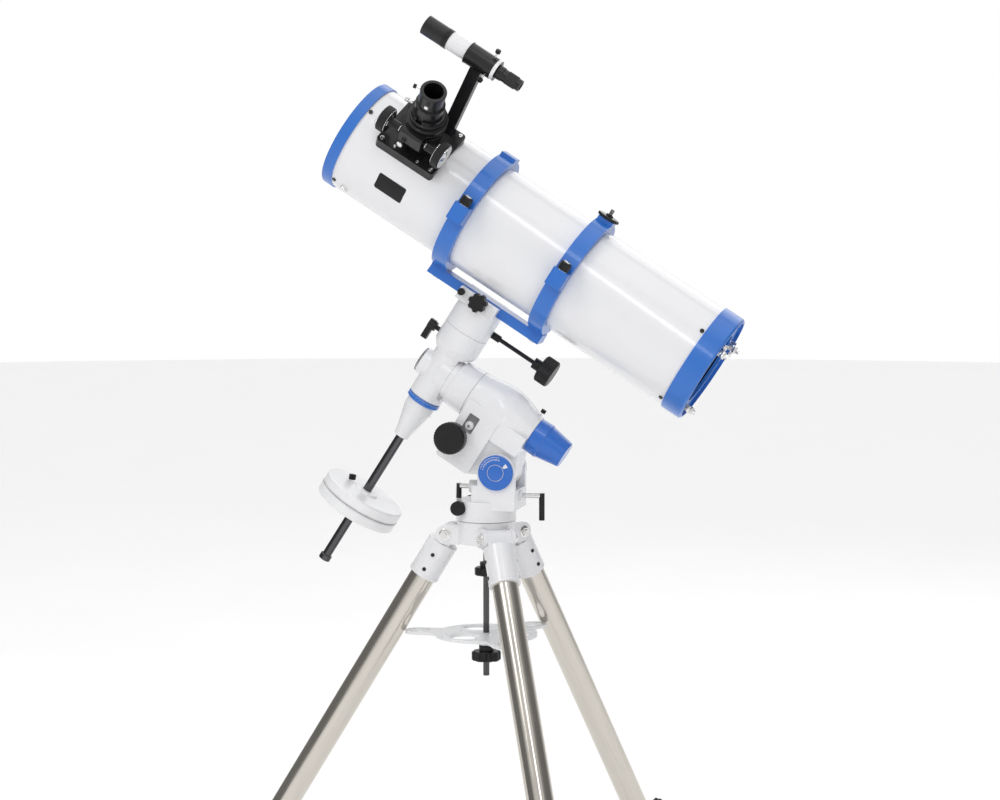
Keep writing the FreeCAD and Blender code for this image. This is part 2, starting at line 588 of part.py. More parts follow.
def azimuth_knob(label, side):
    """A screw on Y whose tip stands a little off the tripod's peg, with its knob outside."""
    tip = dim.peg_width / 2 + dim.azimuth_screw_gap
    knob = round_knob(dim.azimuth_knob_radius, dim.azimuth_knob_depth)
    screw = rod(dim.clamp_radius, "z", (0, 0), (tip - dim.azimuth_knob_at, 0))
    frame = HEAD_TOP * at(-dim.peg_radius, dim.azimuth_knob_at * side, dim.azimuth_screw_level,
                          turn("x", -90 * side))
    publish(fuse(knob, screw), label, frame)


def altitude_bolt(label, tip, length, level, drop, facing):
    """An L-shaped bolt: its rod lies along X from the tip, its handle hangs at the outer end."""
    screw = rod(dim.bolt_radius, "x", (0, 0), (0, length))
    elbow = rod(dim.handle_radius, "z", (length, 0), (-drop, dim.handle_radius))
    publish(fuse(screw, elbow), label, HEAD_TOP * at(tip, 0, level, turn("z", facing)))


def altitude_bolts():
    altitude_bolt("altitude_bolt_front", 0, dim.front_bolt_length, dim.front_bolt_level,
                  dim.front_handle_drop, 180)
    altitude_bolt("altitude_bolt_rear", dim.rear_bolt_tip, dim.rear_bolt_length, dim.rear_bolt_level,
                  dim.rear_handle_drop, 0)


def latitude_scale():
    depth, rim, edge, gap = dim.scale_depth, dim.scale_radius, 1.0, 0.2
    disc = turned([(0, 0), (rim, 0), (rim, depth - edge), (rim - edge, depth), (0, depth)])
    publish(disc, "latitude_scale", PIVOT * at(0, -dim.cheek_outside - gap, 0, turn("x", 90)))


# ---------------------------------------------------------------- polar axis (head frame)

def barrel_outline():
    """Outer profile of the polar barrel: a drum, a smooth swelling and a tapering tail."""
    start, step_end = dim.barrel_start, dim.barrel_start + dim.barrel_step
    bevel, steps = 2.0, 8
    outline = [(0, start), (dim.barrel_front_radius, start), (dim.barrel_front_radius, step_end),
               (dim.barrel_lip, step_end + bevel), (dim.barrel_radius, dim.bulge_start - bevel)]
    rise, run = number(dim.bulge_radius - dim.barrel_radius), number(dim.bulge_at - dim.bulge_start)
    for step in range(steps):
        share = step / steps
        radius = number(dim.barrel_radius) + rise * math.sin(math.pi / 2 * share) ** 2
        outline.append((radius, number(dim.bulge_start) + run * share))
    fall, run = number(dim.bulge_radius - dim.barrel_end_radius), number(dim.barrel_end - dim.bulge_at)
    for step in range(steps + 1):
        share = step / steps
        radius = number(dim.barrel_end_radius) + fall * math.cos(math.pi / 2 * share)
        outline.append((radius, number(dim.bulge_at) + run * share))
    return outline + [(dim.spigot_radius, dim.barrel_end), (dim.spigot_radius, dim.spigot_end),
                      (0, dim.spigot_end)]


def barrel_hollow():
    """Bore of the axle with a relief, the worm wheel's room, the axle nut's room and the sight hole."""
    bore = dim.axle_radius + dim.running_gap
    start = dim.barrel_start - PAST
    relief_front, relief_back, relief = 34.0, 60.0, 32.0
    wheel_front, wheel_back = dim.block_front + 1, dim.block_front + 25
    wheel_room = dim.ra_wheel_radius + 1
    nut_front, nut_back, nut_room = dim.block_back - 3, dim.block_back + 25, dim.axle_nut_radius + 4
    port, end = dim.polar_port_radius, dim.spigot_end + PAST
    return [(0, start), (bore, start), (bore, relief_front), (relief, relief_front), (relief, relief_back),
            (bore, relief_back), (bore, wheel_front), (wheel_room, wheel_front), (wheel_room, wheel_back),
            (bore, wheel_back), (bore, nut_front), (nut_room, nut_front), (nut_room, nut_back),
            (port, nut_back),
            (port, end), (0, end)]


def polar_shell():
    """Barrel, worm block, skirt, web, altitude lug, tail and trunnion in one casting."""
    front, back, below = dim.block_front, dim.block_back, dim.block_below
    pivot = (dim.pivot_back, -dim.pivot_below)
    side_gap, outside = 0.2, dim.cheek_outside
    inside = dim.cheek_inside - side_gap
    barrel = placed(turned(barrel_outline()), at(rotation=Z_TO_X))
    worm_block = rounded(block((front, back), (-dim.block_near, dim.block_far), (-below, 0)), 5, along("y"))
    skirt = rounded(block((back - 6, dim.barrel_end), (-dim.skirt_half, dim.skirt_half),
                          (-dim.skirt_low, -5)),
                    4, along("x"))
    web_front, web_top, web_tail, web_end = back - 30, -20, -68, -34
    web = extruded("XZ_Plane", [(web_front, web_top), (web_front, -below), (back, -below),
                                (back + 17, -below + 10),
                                (dim.spigot_end - 2, web_tail), (dim.barrel_end, web_end),
                                (dim.barrel_end, web_top)],
                   inside * 2)
    lug = rod(dim.yoke_radius - 3, "y", pivot, (-inside, inside))
    tail_half, tail_low, tail_high = 5, -44, -20
    tail = placed(block((-tail_half, tail_half), (-tail_half * 2, tail_half * 2), (tail_low, tail_high)),
                  at(pivot[0], 0, pivot[1], turn("y", -dim.latitude)))
    trunnion = rod(dim.pivot_radius, "y", pivot, (-outside - side_gap / 2, outside + 2))
    nut = rod(dim.pivot_radius * 1.5, "y", pivot, (outside + side_gap * 2, outside + 7))
    return fuse(barrel, worm_block, skirt, web, lug, tail, trunnion, nut)


def polar_housing():
    hollow = placed(turned(barrel_hollow()), at(rotation=Z_TO_X))
    worm_at, knob_at = (dim.ra_worm_back, -dim.ra_worm_below), (dim.ra_worm_back, -dim.ra_knob_below)
    room, bore = dim.ra_gear_radius + 0.4, dim.bolt_radius + dim.running_gap
    near, far, wall = dim.ra_worm_near + 2, dim.ra_gear_far + 2, dim.ra_shaft_reach + 0.5
    rooms = [rod(room, "y", worm_at, (-near, far)),
             rod(bore, "y", worm_at, (-wall, wall)),
             rod(room + 0.2, "y", knob_at, (dim.ra_gear_near - 2, far)),
             rod(bore, "y", knob_at, (-dim.block_near - 4, wall))]
    window = block((dim.window_front, dim.window_back), (-dim.block_near - 4, -dim.window_floor),
                   (-dim.window_low, -dim.window_high))
    publish(cut(polar_shell(), hollow, *rooms, window), "polar_housing", HEAD)


def ra_axle():
    """The hollow axle that carries the declination housing, with its flange and nut."""
    flange_front, flange_back = dim.axle_flange_front, dim.collar_back
    nut_front = dim.block_back + 1
    nut_back, end = nut_front + dim.axle_nut_depth, nut_front + dim.axle_tail
    flange, radius, nut, bore = dim.axle_flange_radius, dim.axle_radius, dim.axle_nut_radius, dim.axle_bore
    publish(turned([(bore, flange_front), (flange, flange_front), (flange, flange_back),
                    (radius, flange_back),
                    (radius, nut_front), (nut, nut_front), (nut, nut_back), (radius, nut_back), (radius, end),
                    (bore, end)]), "ra_axle", POLAR)


def ra_worm_wheel():
    half = dim.ra_wheel_depth / 2
    low, high = dim.ra_worm_back - half, dim.ra_worm_back + half
    bore, rim = dim.axle_radius + dim.running_gap, dim.ra_wheel_radius
    publish(turned([(bore, low), (rim, low), (rim, high), (bore, high)]), "ra_worm_wheel", POLAR)


def ra_worm():
    worm = rod(dim.ra_worm_radius, "y", (0, 0), (-dim.ra_worm_near, dim.ra_worm_far))
    gear = rod(dim.ra_gear_radius, "y", (0, 0), (dim.ra_gear_near, dim.ra_gear_far))
    shaft = rod(dim.bolt_radius, "y", (0, 0), (-dim.ra_shaft_reach, dim.ra_shaft_reach))
    publish(fuse(worm, gear, shaft), "ra_worm", HEAD * at(dim.ra_worm_back, 0, -dim.ra_worm_below))


def ra_slow_control():
    near = dim.ra_knob_at
    shaft = rod(dim.bolt_radius, "y", (0, 0), (-near, dim.ra_shaft_reach))
    pinion = rod(dim.ra_gear_radius + 0.1, "y", (0, 0), (dim.ra_gear_near, dim.ra_gear_far))
    hub = rod(dim.ra_hub_radius, "y", (0, 0), (-near - 1, -dim.ra_hub_start))
    knob = placed(round_knob(dim.ra_knob_radius, dim.ra_knob_depth), at(0, -near, 0, turn("x", 90)))
    publish(fuse(shaft, pinion, hub, knob), "ra_slow_control",
            HEAD * at(dim.ra_worm_back, 0, -dim.ra_knob_below))


def polar_cap():
    """A thin-walled tapering cup with a grip band at its mouth."""
    length, wall, mouth, grip = dim.cap_length, 2.5, 29.5, 21.0
    bevel, inner_end = 1.5, dim.cap_end_radius - 1.5
    outline = [(dim.cap_bore, 0), (mouth, 0), (dim.cap_radius, grip), (dim.cap_radius - bevel, grip + bevel),
               (dim.cap_end_radius + bevel, length - bevel), (dim.cap_end_radius, length), (0, length),
               (0, length - wall), (inner_end, length - wall), (dim.cap_bore, grip + 3)]
    publish(turned(outline), "polar_cap", HEAD * at(x=dim.cap_start, rotation=Z_TO_X))


# ---------------------------------------------------------------- declination axis (head frame)

def dec_shell():
    """Tapering body, drum, collar towards the polar barrel and the sight port."""
    bottom, split, edge, drum_slope = -dim.dec_body_bottom, dim.dec_split, 1.5, 2.0
    body, drum = dim.dec_body_radius, dim.dec_drum_radius
    shell = turned([(0, bottom), (body - edge, bottom), (body, bottom + edge), (body, dim.dec_body_top),
                    (drum - 1, dim.dec_drum_bottom - drum_slope), (drum, dim.dec_drum_bottom), (drum, split),
                    (0, split)])
    collar = rod(dim.collar_radius, "x", (0, 0), (0, dim.collar_back))
    port = rod(dim.port_radius, "x", (0, 0), (-dim.port_reach, 0))
    return fuse(shell, collar, port)


def dec_housing():
    bottom, split, back = -dim.dec_body_bottom, dim.dec_split, dim.collar_back
    rooms = [rod(dim.barrel_radius + 1, "x", (0, 0), (back, back * 3)),
             rod(dim.dec_axle_radius + dim.running_gap, "z", (0, 0), (bottom - PAST, split + PAST)),
             rod(dim.dec_hub_radius + 0.1, "z", (0, 0), (dim.dec_drum_bottom, split + PAST)),
             rod(dim.light_path_radius, "x", (0, 0), (-dim.port_depth, dim.axle_flange_front + PAST)),
             rod(dim.axle_flange_radius, "x", (0, 0), (dim.axle_flange_front, back + PAST)),
             rod(dim.bolt_radius + dim.running_gap, "x", (0, dim.lever_level), (-dim.lever_reach, -10))]
    publish(cut(dec_shell(), *rooms), "dec_housing", HEAD)


def dec_axle():
    axle = rod(dim.dec_axle_radius, "z", (0, 0), (-dim.dec_axle_low, dim.dec_axle_top))
    publish(axle, "dec_axle", HEAD * at(z=-dim.dec_axle_low))


def dec_worm_wheel():
    bore, hub, wheel = dim.dec_axle_radius + dim.running_gap, dim.dec_hub_radius, dim.dec_wheel_radius
    start, low, high = dim.dec_drum_bottom + 2, dim.dec_wheel_low, dim.dec_wheel_high
    publish(turned([(bore, start), (hub, start), (hub, low), (wheel, low), (wheel, high), (bore, high)]),
            "dec_worm_wheel", HEAD)


def dec_clutch_lever():
    reach, half = dim.lever_reach, dim.lever_half
    end = reach + dim.lever_hub_depth
    blade_inset, corner = 4.0, 3.0
    stem = rod(dim.bolt_radius, "x", (0, 0), (-reach, -dim.lever_tip))
    hub = rod(dim.lever_hub_radius, "x", (0, 0), (-end, -reach))
    blade = block((-end, -reach - blade_inset), (-half, half), (-dim.lever_below, dim.lever_above))
    publish(fuse(stem, hub, rounded(blade, corner, along("x"))), "dec_clutch_lever",
            HEAD * at(z=dim.lever_level))


CIRCLE_GAP = 0.3


def dec_circle():
    top = -dim.dec_body_bottom - CIRCLE_GAP
    low = top - dim.circle_depth
    bore, rim = dim.dec_axle_radius, dim.dec_body_radius
    publish(turned([(bore, low), (dim.circle_low_radius, low), (rim, top - dim.circle_band), (rim, top),
                    (bore, top)]),
            "dec_circle", HEAD)


def shaft_taper():
    top, low = -dim.dec_body_bottom - CIRCLE_GAP - dim.circle_depth, -dim.taper_bottom
    band, nose, nose_rise, wide = 12, 14, 2, dim.taper_radius
    publish(turned([(dim.shaft_radius, low), (dim.taper_end_radius, low),
                    (dim.taper_end_radius + nose_rise, low + nose),
                    (wide, top - band), (wide, top), (dim.dec_axle_radius, top),
                    (dim.dec_axle_radius, -dim.dec_axle_low), (dim.shaft_radius, -dim.dec_axle_low)]),
            "shaft_taper", HEAD)


def counterweight_shaft():
    shaft = rod(dim.shaft_radius, "z", (0, 0), (-dim.shaft_end, -dim.dec_axle_low - 1))
    toe = rod(dim.toe_radius, "z", (0, 0), (-dim.shaft_end - dim.toe_depth, -dim.shaft_end))
    publish(fuse(shaft, rounded(toe, 1.5, every_edge)), "counterweight_shaft", HEAD)


def counterweights():
    edge, rim, bore = dim.weight_edge, dim.weight_radius, dim.shaft_radius + dim.running_gap
    weights = []
    for place in (0, 1):
        top = -dim.weight_top - (dim.weight_depth + dim.weight_gap) * place
        low = top - dim.weight_depth
        weights.append(turned([(bore, low), (rim - edge, low), (rim, low + edge), (rim, top - edge),
                               (rim - edge, top), (bore, top)]))
    publish(group(*weights), "counterweights", HEAD)


def bar_section(spare):
    low, high = dim.bar_bottom - spare, dim.bar_top + spare
    base, top = dim.bar_half_base + spare, dim.bar_half_top + spare
    return [(-base, low), (base, low), (top, high), (-top, high)]


def saddle():
    """The cap over the declination drum: worm bulge on one side and the dovetail jaws on top."""
    split, start = dim.dec_split + dim.dec_split_gap, dim.dec_split - PAST
    worm_at, half = (dim.dec_worm_aside, dim.dec_worm_level), dim.jaw_half
    cup = rod(dim.dec_drum_radius, "z", (0, 0), (split, dim.saddle_top))
    bulge_side, bulge_top, worm_front, worm_back = 43, 107, 28, 30
    bulge = rounded(block((-worm_front, worm_back), (0, bulge_side), (split, bulge_top)), 4, along("x"))
    jaws = rounded(block((-half - 2, half - 6), (-half, half), (dim.jaw_bottom, dim.jaw_top)), 3, along("z"))
    channel = extruded("YZ_Plane", bar_section(dim.running_gap), FAR)
    wheel_gap, worm_gap = 1.2, 0.6
    screw = (0, dim.star_level)
    rooms = [rod(dim.dec_wheel_radius + wheel_gap, "z", (0, 0), (start, dim.dec_wheel_high + 2)),
             rod(dim.dec_axle_radius, "z", (0, 0), (start, dim.dec_axle_top)),
             rod(dim.dec_worm_radius + worm_gap, "x", worm_at,
                 (-dim.dec_worm_half - 2, dim.dec_worm_half + 2)),
             rod(dim.dec_rod_radius + dim.running_gap, "x", worm_at, (-worm_front - 1, worm_back + 1)),
             rod(dim.clamp_radius + dim.running_gap, "y", screw, (-half - 2, -dim.bar_half_top))]
    publish(cut(fuse(cup, bulge, jaws), channel, *rooms), "saddle", HEAD)


def dec_slow_control():
    end = dim.dec_rod_end
    worm = rod(dim.dec_worm_radius, "x", (0, 0), (-dim.dec_worm_half, dim.dec_worm_half))
    shaft = rod(dim.dec_rod_radius, "x", (0, 0), (-dim.dec_rod_start, end))
    coupling = rod(dim.coupling_radius, "x", (0, 0), (dim.coupling_start, dim.coupling_end))
    hub = rod(dim.dec_knob_hub, "x", (0, 0), (end - dim.dec_knob_neck, end + 1))
    knob = placed(round_knob(dim.dec_knob_radius, dim.dec_knob_depth), at(end, 0, 0, turn("y", 90)))
    publish(fuse(worm, shaft, coupling, hub, knob), "dec_slow_control",
            HEAD * at(0, dim.dec_worm_aside, dim.dec_worm_level))


def saddle_knob():
    knob = star_knob(dim.star_radius, dim.star_depth, 7)
    screw = rod(dim.clamp_radius, "z", (0, 0), (-dim.star_screw, 1))
    publish(fuse(knob, screw), "saddle_knob", HEAD * at(0, -dim.star_at, dim.star_level, turn("x", 90)))


# ---------------------------------------------------------------- bar and tube rings

def dovetail_bar():
    bar = extruded("YZ_Plane", bar_section(0), dim.bar_front + dim.bar_back)
    publish(bar, "dovetail_bar", HEAD * at(x=(dim.bar_back - dim.bar_front) / 2))


def ring_frame(place):
    return HEAD * at(place - dim.tube_front, 0, dim.tube_offset)


def ring_half(z_span):
    """Half of the clamping band about X."""
    half = dim.ring_width / 2
    band = cut(rod(dim.ring_radius, "x", (0, 0), (-half, half)),
               rod(dim.ring_bore, "x", (0, 0), (-half - PAST, half + PAST)))
    return common(band, block((-half - PAST, half + PAST), (-FAR, FAR), z_span))


def ring_lug(z_span):
    half = dim.ring_width / 2
    corner = 4
    return rounded(block((-half, half), (-dim.lug_reach, -dim.ring_radius + dim.ring_wall), z_span), corner,
                   along("z"))


def ring_lower():
    half, knuckle = dim.ring_width / 2, dim.knuckle_half
    web_start = dim.ring_radius - dim.ring_wall
    foot = block((-half, half), (-dim.ring_foot_half, dim.ring_foot_half),
                 (dim.bar_top - dim.tube_offset, -dim.ring_bore - dim.ring_wall))
    barrel = rod(dim.knuckle_radius, "x", (dim.hinge_at, 0), (-knuckle, knuckle))
    web = block((-knuckle, knuckle), (web_start, dim.hinge_at), (-dim.knuckle_radius, 0))
    room = dim.knuckle_radius + dim.knuckle_gap
    rooms = [rod(dim.clamp_radius + dim.clamp_slack, "z", (0, -dim.clamp_at), (-dim.lug_depth - PAST, PAST)),
             rod(dim.pin_radius, "x", (dim.hinge_at, 0), (-half - PAST, half + PAST)),
             rod(room, "x", (dim.hinge_at, 0), (knuckle, half + PAST)),
             rod(room, "x", (dim.hinge_at, 0), (-half - PAST, -knuckle))]
    return cut(fuse(ring_half((-FAR, 0)), foot, ring_lug((-dim.lug_depth, 0)), web, barrel), *rooms)


def ring_lower_halves():
    half = dim.ring_width / 2
    solids = []
    for place in (dim.front_ring_at, dim.rear_ring_at):
        where = at(place - dim.front_ring_at, 0, 0)
        solids.append(placed(ring_lower(), where))
        solids.append(placed(rod(dim.pin_radius, "x", (dim.hinge_at, 0), (-half, half)), where))
    publish(group(*solids), "ring_lower_halves", ring_frame(dim.front_ring_at))


def ring_upper(label, place, threaded):
    half, side_gap = dim.ring_width / 2, 0.1
    inner = dim.knuckle_half + side_gap
    web_start = dim.ring_radius - dim.ring_wall
    boss = block((-half, half), (-dim.ring_boss_half, dim.ring_boss_half), (web_start, dim.ring_boss))
    knuckles = []
    for span in ((inner, half), (-half, -inner)):
        knuckles.append(rod(dim.knuckle_radius, "x", (dim.hinge_at, 0), span))
        knuckles.append(block(span, (web_start, dim.hinge_at), (0, dim.knuckle_radius)))
    holes = [rod(dim.clamp_radius + dim.running_gap, "z", (0, -dim.clamp_at), (-PAST, dim.lug_width + PAST)),
             rod(dim.pin_radius + dim.running_gap, "x", (dim.hinge_at, 0), (-half - PAST, half + PAST)),
             rod(dim.knuckle_radius + dim.knuckle_gap, "x", (dim.hinge_at, 0), (-inner, inner))]
    if threaded:
        holes.append(rod(dim.stud_radius + dim.running_gap, "z", (0, 0),
                         (dim.ring_boss - dim.stud_length, dim.ring_boss + PAST)))
    solid = fuse(ring_half((0, FAR)), ring_lug((0, dim.lug_width)), boss, *knuckles)
    publish(cut(solid, *holes), label, ring_frame(place))


KNOB_LIFT = 0.2  # a clamping knob's clearance from the face under it


def ring_knob(label, place):
    knob = round_knob(dim.clamp_knob_radius, dim.clamp_knob_depth)
    screw = rod(dim.clamp_radius, "z", (0, 0), (-dim.clamp_screw, 1))
    publish(fuse(knob, screw), label, ring_frame(place) * at(0, -dim.clamp_at, dim.lug_width + KNOB_LIFT))


def camera_screw():
    depth = dim.camera_disc_depth
    disc = round_knob(dim.camera_disc_radius, depth)
    stud = rod(dim.stud_radius, "z", (0, 0), (-dim.stud_root, depth + dim.stud_length))
    publish(fuse(disc, stud), "camera_screw", ring_frame(dim.rear_ring_at) * at(z=dim.ring_boss + KNOB_LIFT))


# ---------------------------------------------------------------- optical tube (tube frame)

def main_tube():
    inner, outer = dim.tube_radius - dim.tube_wall, dim.tube_radius
    start, end = dim.tube_start, dim.flange_start
    shell = turned([(inner, start), (outer, start), (outer, end), (inner, end)])
    hole = placed(rod(dim.drawtube_hole, "z", (0, 0), (dim.plate_low, dim.plate_low * 2)),
                  TUBE.inverse() * FOCUSER)
    publish(cut(shell, hole), "main_tube", TUBE)


def front_ring():
    rim, edge, mouth = dim.end_ring_radius, dim.end_ring_edge, dim.front_ring_bore
    publish(turned([(mouth, 0), (rim - edge, 0), (rim, edge), (rim, dim.front_ring_depth),
                    (dim.tube_radius, dim.front_ring_depth), (dim.tube_radius, dim.tube_start),
                    (mouth, dim.tube_start)]), "front_ring", TUBE)


def bolt_turns():
    """Turn of each collimation bolt, and of the lock screw beside it."""
    first = dim.collimation_turn
    return [(first, first - dim.lock_aside), (first + 120, first + 120 + dim.lock_aside),
            (first + 240, first + 240 + dim.lock_aside)]


def round_the_mirror(solid, angle):
    return placed(solid, at(rotation=turn("z", angle)))


def rear_ring():
    rim, edge, mouth = dim.rear_ring_radius, dim.rear_ring_edge, dim.rear_ring_bore
    start, flange, end = dim.rear_ring_start, dim.flange_start, dim.tube_length
    web = flange + dim.flange_depth
    ring = turned([(dim.tube_radius, start), (rim, start), (rim, end - edge), (rim - edge, end), (mouth, end),
                   (mouth, web), (dim.flange_bore, web), (dim.flange_bore, flange),
                   (dim.tube_radius, flange)])
    holes = []
    for bolt, lock in bolt_turns():
        for angle, radius in ((bolt, dim.bolt_radius), (lock, dim.clamp_radius)):
            hole = rod(radius, "z", (dim.collimation_radius, 0), (flange - PAST, end + PAST))
            holes.append(round_the_mirror(hole, angle))
    publish(cut(ring, *holes), "rear_ring", TUBE)


def mirror_cell():
    """A dished plate with a seat ring under the mirror and a wall round its edge."""
    back, front = dim.cell_back, dim.cell_back - dim.cell_depth
    seat, edge = dim.mirror_back, dim.mirror_radius
    grip, wall, slack = seat - dim.cell_grip, edge + dim.cell_wall, 0.1
    cell = turned([(dim.cell_seat_bore, seat), (dim.cell_seat_radius, seat), (dim.cell_seat_radius, front),
                   (edge, front), (edge, grip), (wall, grip), (wall, front), (dim.cell_radius, front),
                   (dim.cell_radius, back), (0, back), (0, front), (dim.cell_seat_bore, front)])
    holes = [round_the_mirror(rod(dim.bolt_radius + slack, "z", (dim.collimation_radius, 0),
                                  (grip, back + PAST)), bolt)
             for bolt, lock in bolt_turns()]
    publish(cut(cell, *holes), "mirror_cell", TUBE)


def primary_mirror():
    edge, back = dim.mirror_radius, dim.mirror_back
    face = number(back - dim.mirror_depth)
    outline = [(0, back), (edge, back)]
    steps = 6
    for step in range(steps, -1, -1):
        radius = number(edge) * step / steps
        depth = (number(edge) ** 2 - radius ** 2) / (2 * number(dim.mirror_curve))
        outline.append((radius, face + depth))
    publish(turned(outline), "primary_mirror", TUBE)


def collimation_bolts():
    bolts = []
    for bolt, lock in bolt_turns():
        long_bolt = rod(dim.bolt_radius, "z", (dim.collimation_radius, 0),
                        (dim.mirror_back + 5, dim.collimation_end))
        lock_screw = rod(dim.clamp_radius, "z", (dim.collimation_radius, 0),
                         (dim.cell_back + 2, dim.lock_end))
        bolts += [round_the_mirror(long_bolt, bolt), round_the_mirror(lock_screw, lock)]
    publish(group(*bolts), "collimation_bolts", TUBE)


def tilted(solid):
    """Lean a solid whose X is the mirror's normal to 45 degrees between rearward and outward."""
    return placed(solid, at(rotation=turn("y", -45)))


def spider():
    """Four vanes, the hub on the axis and the holder of the secondary mirror."""
    start, edge, rim = dim.spider_at - dim.hub_front, dim.hub_edge, dim.hub_radius
    end, half_width, half = start + dim.hub_depth, dim.vane_width / 2, dim.vane_thickness / 2
    wall_gap = 0.4
    reach = dim.tube_radius - dim.tube_wall - wall_gap
    hub = turned([(0, start), (rim - edge, start), (rim, start + edge), (rim, end), (0, end)])
    low, high = dim.spider_at - half_width, dim.spider_at + half_width
    vanes = []
    for k in range(4):
        sheet = placed(block((dim.vane_root, reach), (-half, half), (low, high)),
                       at(rotation=turn("z", dim.spider_turn + 90 * k)))
        vanes.append(cut(sheet, hub))
    drum = rod(dim.secondary_radius - 2, "x", (0, 0), (-dim.holder_end, dim.holder_end + 2))
    holder = common(drum, tilted(block((-FAR, -dim.secondary_depth), (-FAR, FAR), (-FAR, FAR))))
    stalk = rod(dim.stalk_radius, "x", (0, 0), (-60, -dim.holder_end + 2))
    mount = placed(fuse(holder, stalk), TUBE.inverse() * FOCUSER)
    publish(group(hub, cut(mount, hub), *vanes), "spider", TUBE)


def secondary_mirror():
    drum = rod(dim.secondary_radius, "x", (0, 0), (-FAR, FAR))
    glass = tilted(block((-dim.secondary_depth, 0), (-FAR, FAR), (-FAR, FAR)))
    publish(common(drum, glass), "secondary_mirror", FOCUSER)


def screw_dome(radius, height, place, angle):
    """A low round head that sits on the tube's outside."""
    sunk, half = 4, 20
    head = rod(radius, "z", (0, 0), (dim.tube_radius - sunk, dim.tube_radius + height))
    head = cut(head, rod(dim.tube_radius, "x", (0, 0), (-half, half)))
    return placed(head, at(z=place, rotation=turn("z", angle)) * at(rotation=Z_TO_X))


def tube_screws():
    screws = []
    for k in range(4):
        for place in (dim.front_ring_depth + dim.screw_inset, dim.rear_ring_start - dim.screw_inset):
            screws.append(screw_dome(dim.screw_radius, dim.screw_height, place, dim.screw_turn + 90 * k))
        screws.append(screw_dome(dim.vane_nut_radius, dim.vane_nut_height, dim.spider_at,
                                 dim.spider_turn + 90 * k))
    publish(group(*screws), "tube_screws", TUBE)


# ---------------------------------------------------------------- focuser (focuser frame)

def focuser_shell():
    """Saddle plate, stepped round housing and the carrier of the pinion."""
    half_length, half_width, top = dim.plate_length / 2, dim.plate_width / 2, dim.plate_top
    base = rounded(block((-half_length, half_length), (-half_width, half_width), (dim.plate_low, top)),
                   dim.plate_corner, along("z"))
    edge, root, rim = 1.0, top - 4, dim.rim_radius
    outer = turned([(0, root), (dim.housing_radius, root), (dim.housing_radius, dim.housing_step),
                    (dim.housing_waist, dim.housing_step), (dim.housing_waist, dim.flange_low),
                    (dim.flange_radius, dim.flange_low + edge), (dim.flange_radius, dim.flange_high - edge),
                    (dim.neck_radius, dim.flange_high), (dim.neck_radius, dim.neck_high),
                    (rim, dim.neck_high + edge / 2), (rim, dim.focuser_top), (0, dim.focuser_top)])
    half, rise = dim.carrier_half, dim.carrier_rise
    carrier = block((-half, half), (-dim.carrier_near, -dim.carrier_far),
                    (dim.pinion_level - rise, dim.pinion_level + rise))
    return fuse(base, outer, rounded(carrier, 4, along("x")))


def focuser_body():
    pinion_at = (-dim.pinion_aside, dim.pinion_level)
    half_length, end = dim.plate_length / 2 + PAST, dim.focuser_top + PAST
    start, side = dim.plate_low - PAST, dim.rack_width / 2 + dim.rack_clearance
    rooms = [rod(dim.tube_radius, "x", (0, 0), (-half_length, half_length)),
             rod(dim.drawtube_radius + dim.running_gap, "z", (0, 0), (start, end)),
             block((-side, side), (-dim.rack_room, 0), (start, end)),
             rod(dim.pinion_room, "x", pinion_at, (-dim.pinion_room_half, dim.pinion_room_half)),
             rod(dim.pinion_shaft_radius + dim.running_gap, "x", pinion_at,
                 (-dim.wheel_hub_at, dim.wheel_hub_at))]
    publish(cut(focuser_shell(), *rooms), "focuser_body", FOCUSER)


def rack_profile():
    """Straight-sided teeth along Z with their pitch line on the pinion's pitch circle."""
    module, level = number(dim.gear_module), number(dim.pinion_level)
    pitch, root_depth = math.pi * module, number(dim.tooth_root) * module
    line = -number(dim.pinion_aside) + module * number(dim.pinion_teeth) / 2
    tip, root = line - module, line + root_depth
    slope = math.tan(math.radians(number(dim.pressure_angle)))
    backlash, first, last = 0.06, -16, 6
    wide = pitch / 4 + root_depth * slope - backlash
    narrow = pitch / 4 - module * slope - backlash
    points = []
    for step in range(first, last):
        middle = level + (step + 0.5) * pitch
        points += [(root, middle - wide), (tip, middle - narrow), (tip, middle + narrow),
                   (root, middle + wide)]
    inside = -number(dim.drawtube_bore) - 1
    return [(inside, points[0][1])] + points + [(inside, points[-1][1])]


def drawtube():
    start, shoulder = dim.adapter_start, dim.adapter_start - dim.adapter_shoulder
    outline = [(dim.drawtube_bore, dim.drawtube_start), (dim.drawtube_radius, dim.drawtube_start),
               (dim.drawtube_radius, start), (dim.adapter_radius, start + 1),
               (dim.adapter_radius, dim.adapter_top), (dim.adapter_bore, dim.adapter_top),
               (dim.adapter_bore, shoulder), (dim.drawtube_bore, shoulder)]
    rack = extruded("YZ_Plane", rack_profile(), dim.rack_width)
    publish(fuse(turned(outline), rack), "drawtube", FOCUSER)


def involute(angle):
    return math.tan(angle) - angle


def pinion_profile():
    """Involute teeth about X, a little thinned for backlash."""
    module, teeth = number(dim.gear_module), int(number(dim.pinion_teeth))
    pressure = math.radians(number(dim.pressure_angle))
    pitch = module * teeth / 2
    base = pitch * math.cos(pressure)
    root, tip = pitch - number(dim.tooth_root) * module, pitch + module
    backlash, steps = 0.05, 4
    half = math.pi / teeth / 2 - backlash / pitch + involute(pressure)
    flank = []
    for step in range(steps + 1):
        radius = base + (tip - base) * step / steps
        flank.append((radius, half - involute(math.acos(base / radius))))
    tooth = [(root, -half)] + [(r, -a) for r, a in flank] + [(r, a) for r,
                                                             a in reversed(flank)] + [(root, half)]
    points = []
    for place in range(teeth):
        middle = 2 * math.pi * place / teeth
        points += [(r * math.cos(middle + a), r * math.sin(middle + a)) for r, a in tooth]
    return points


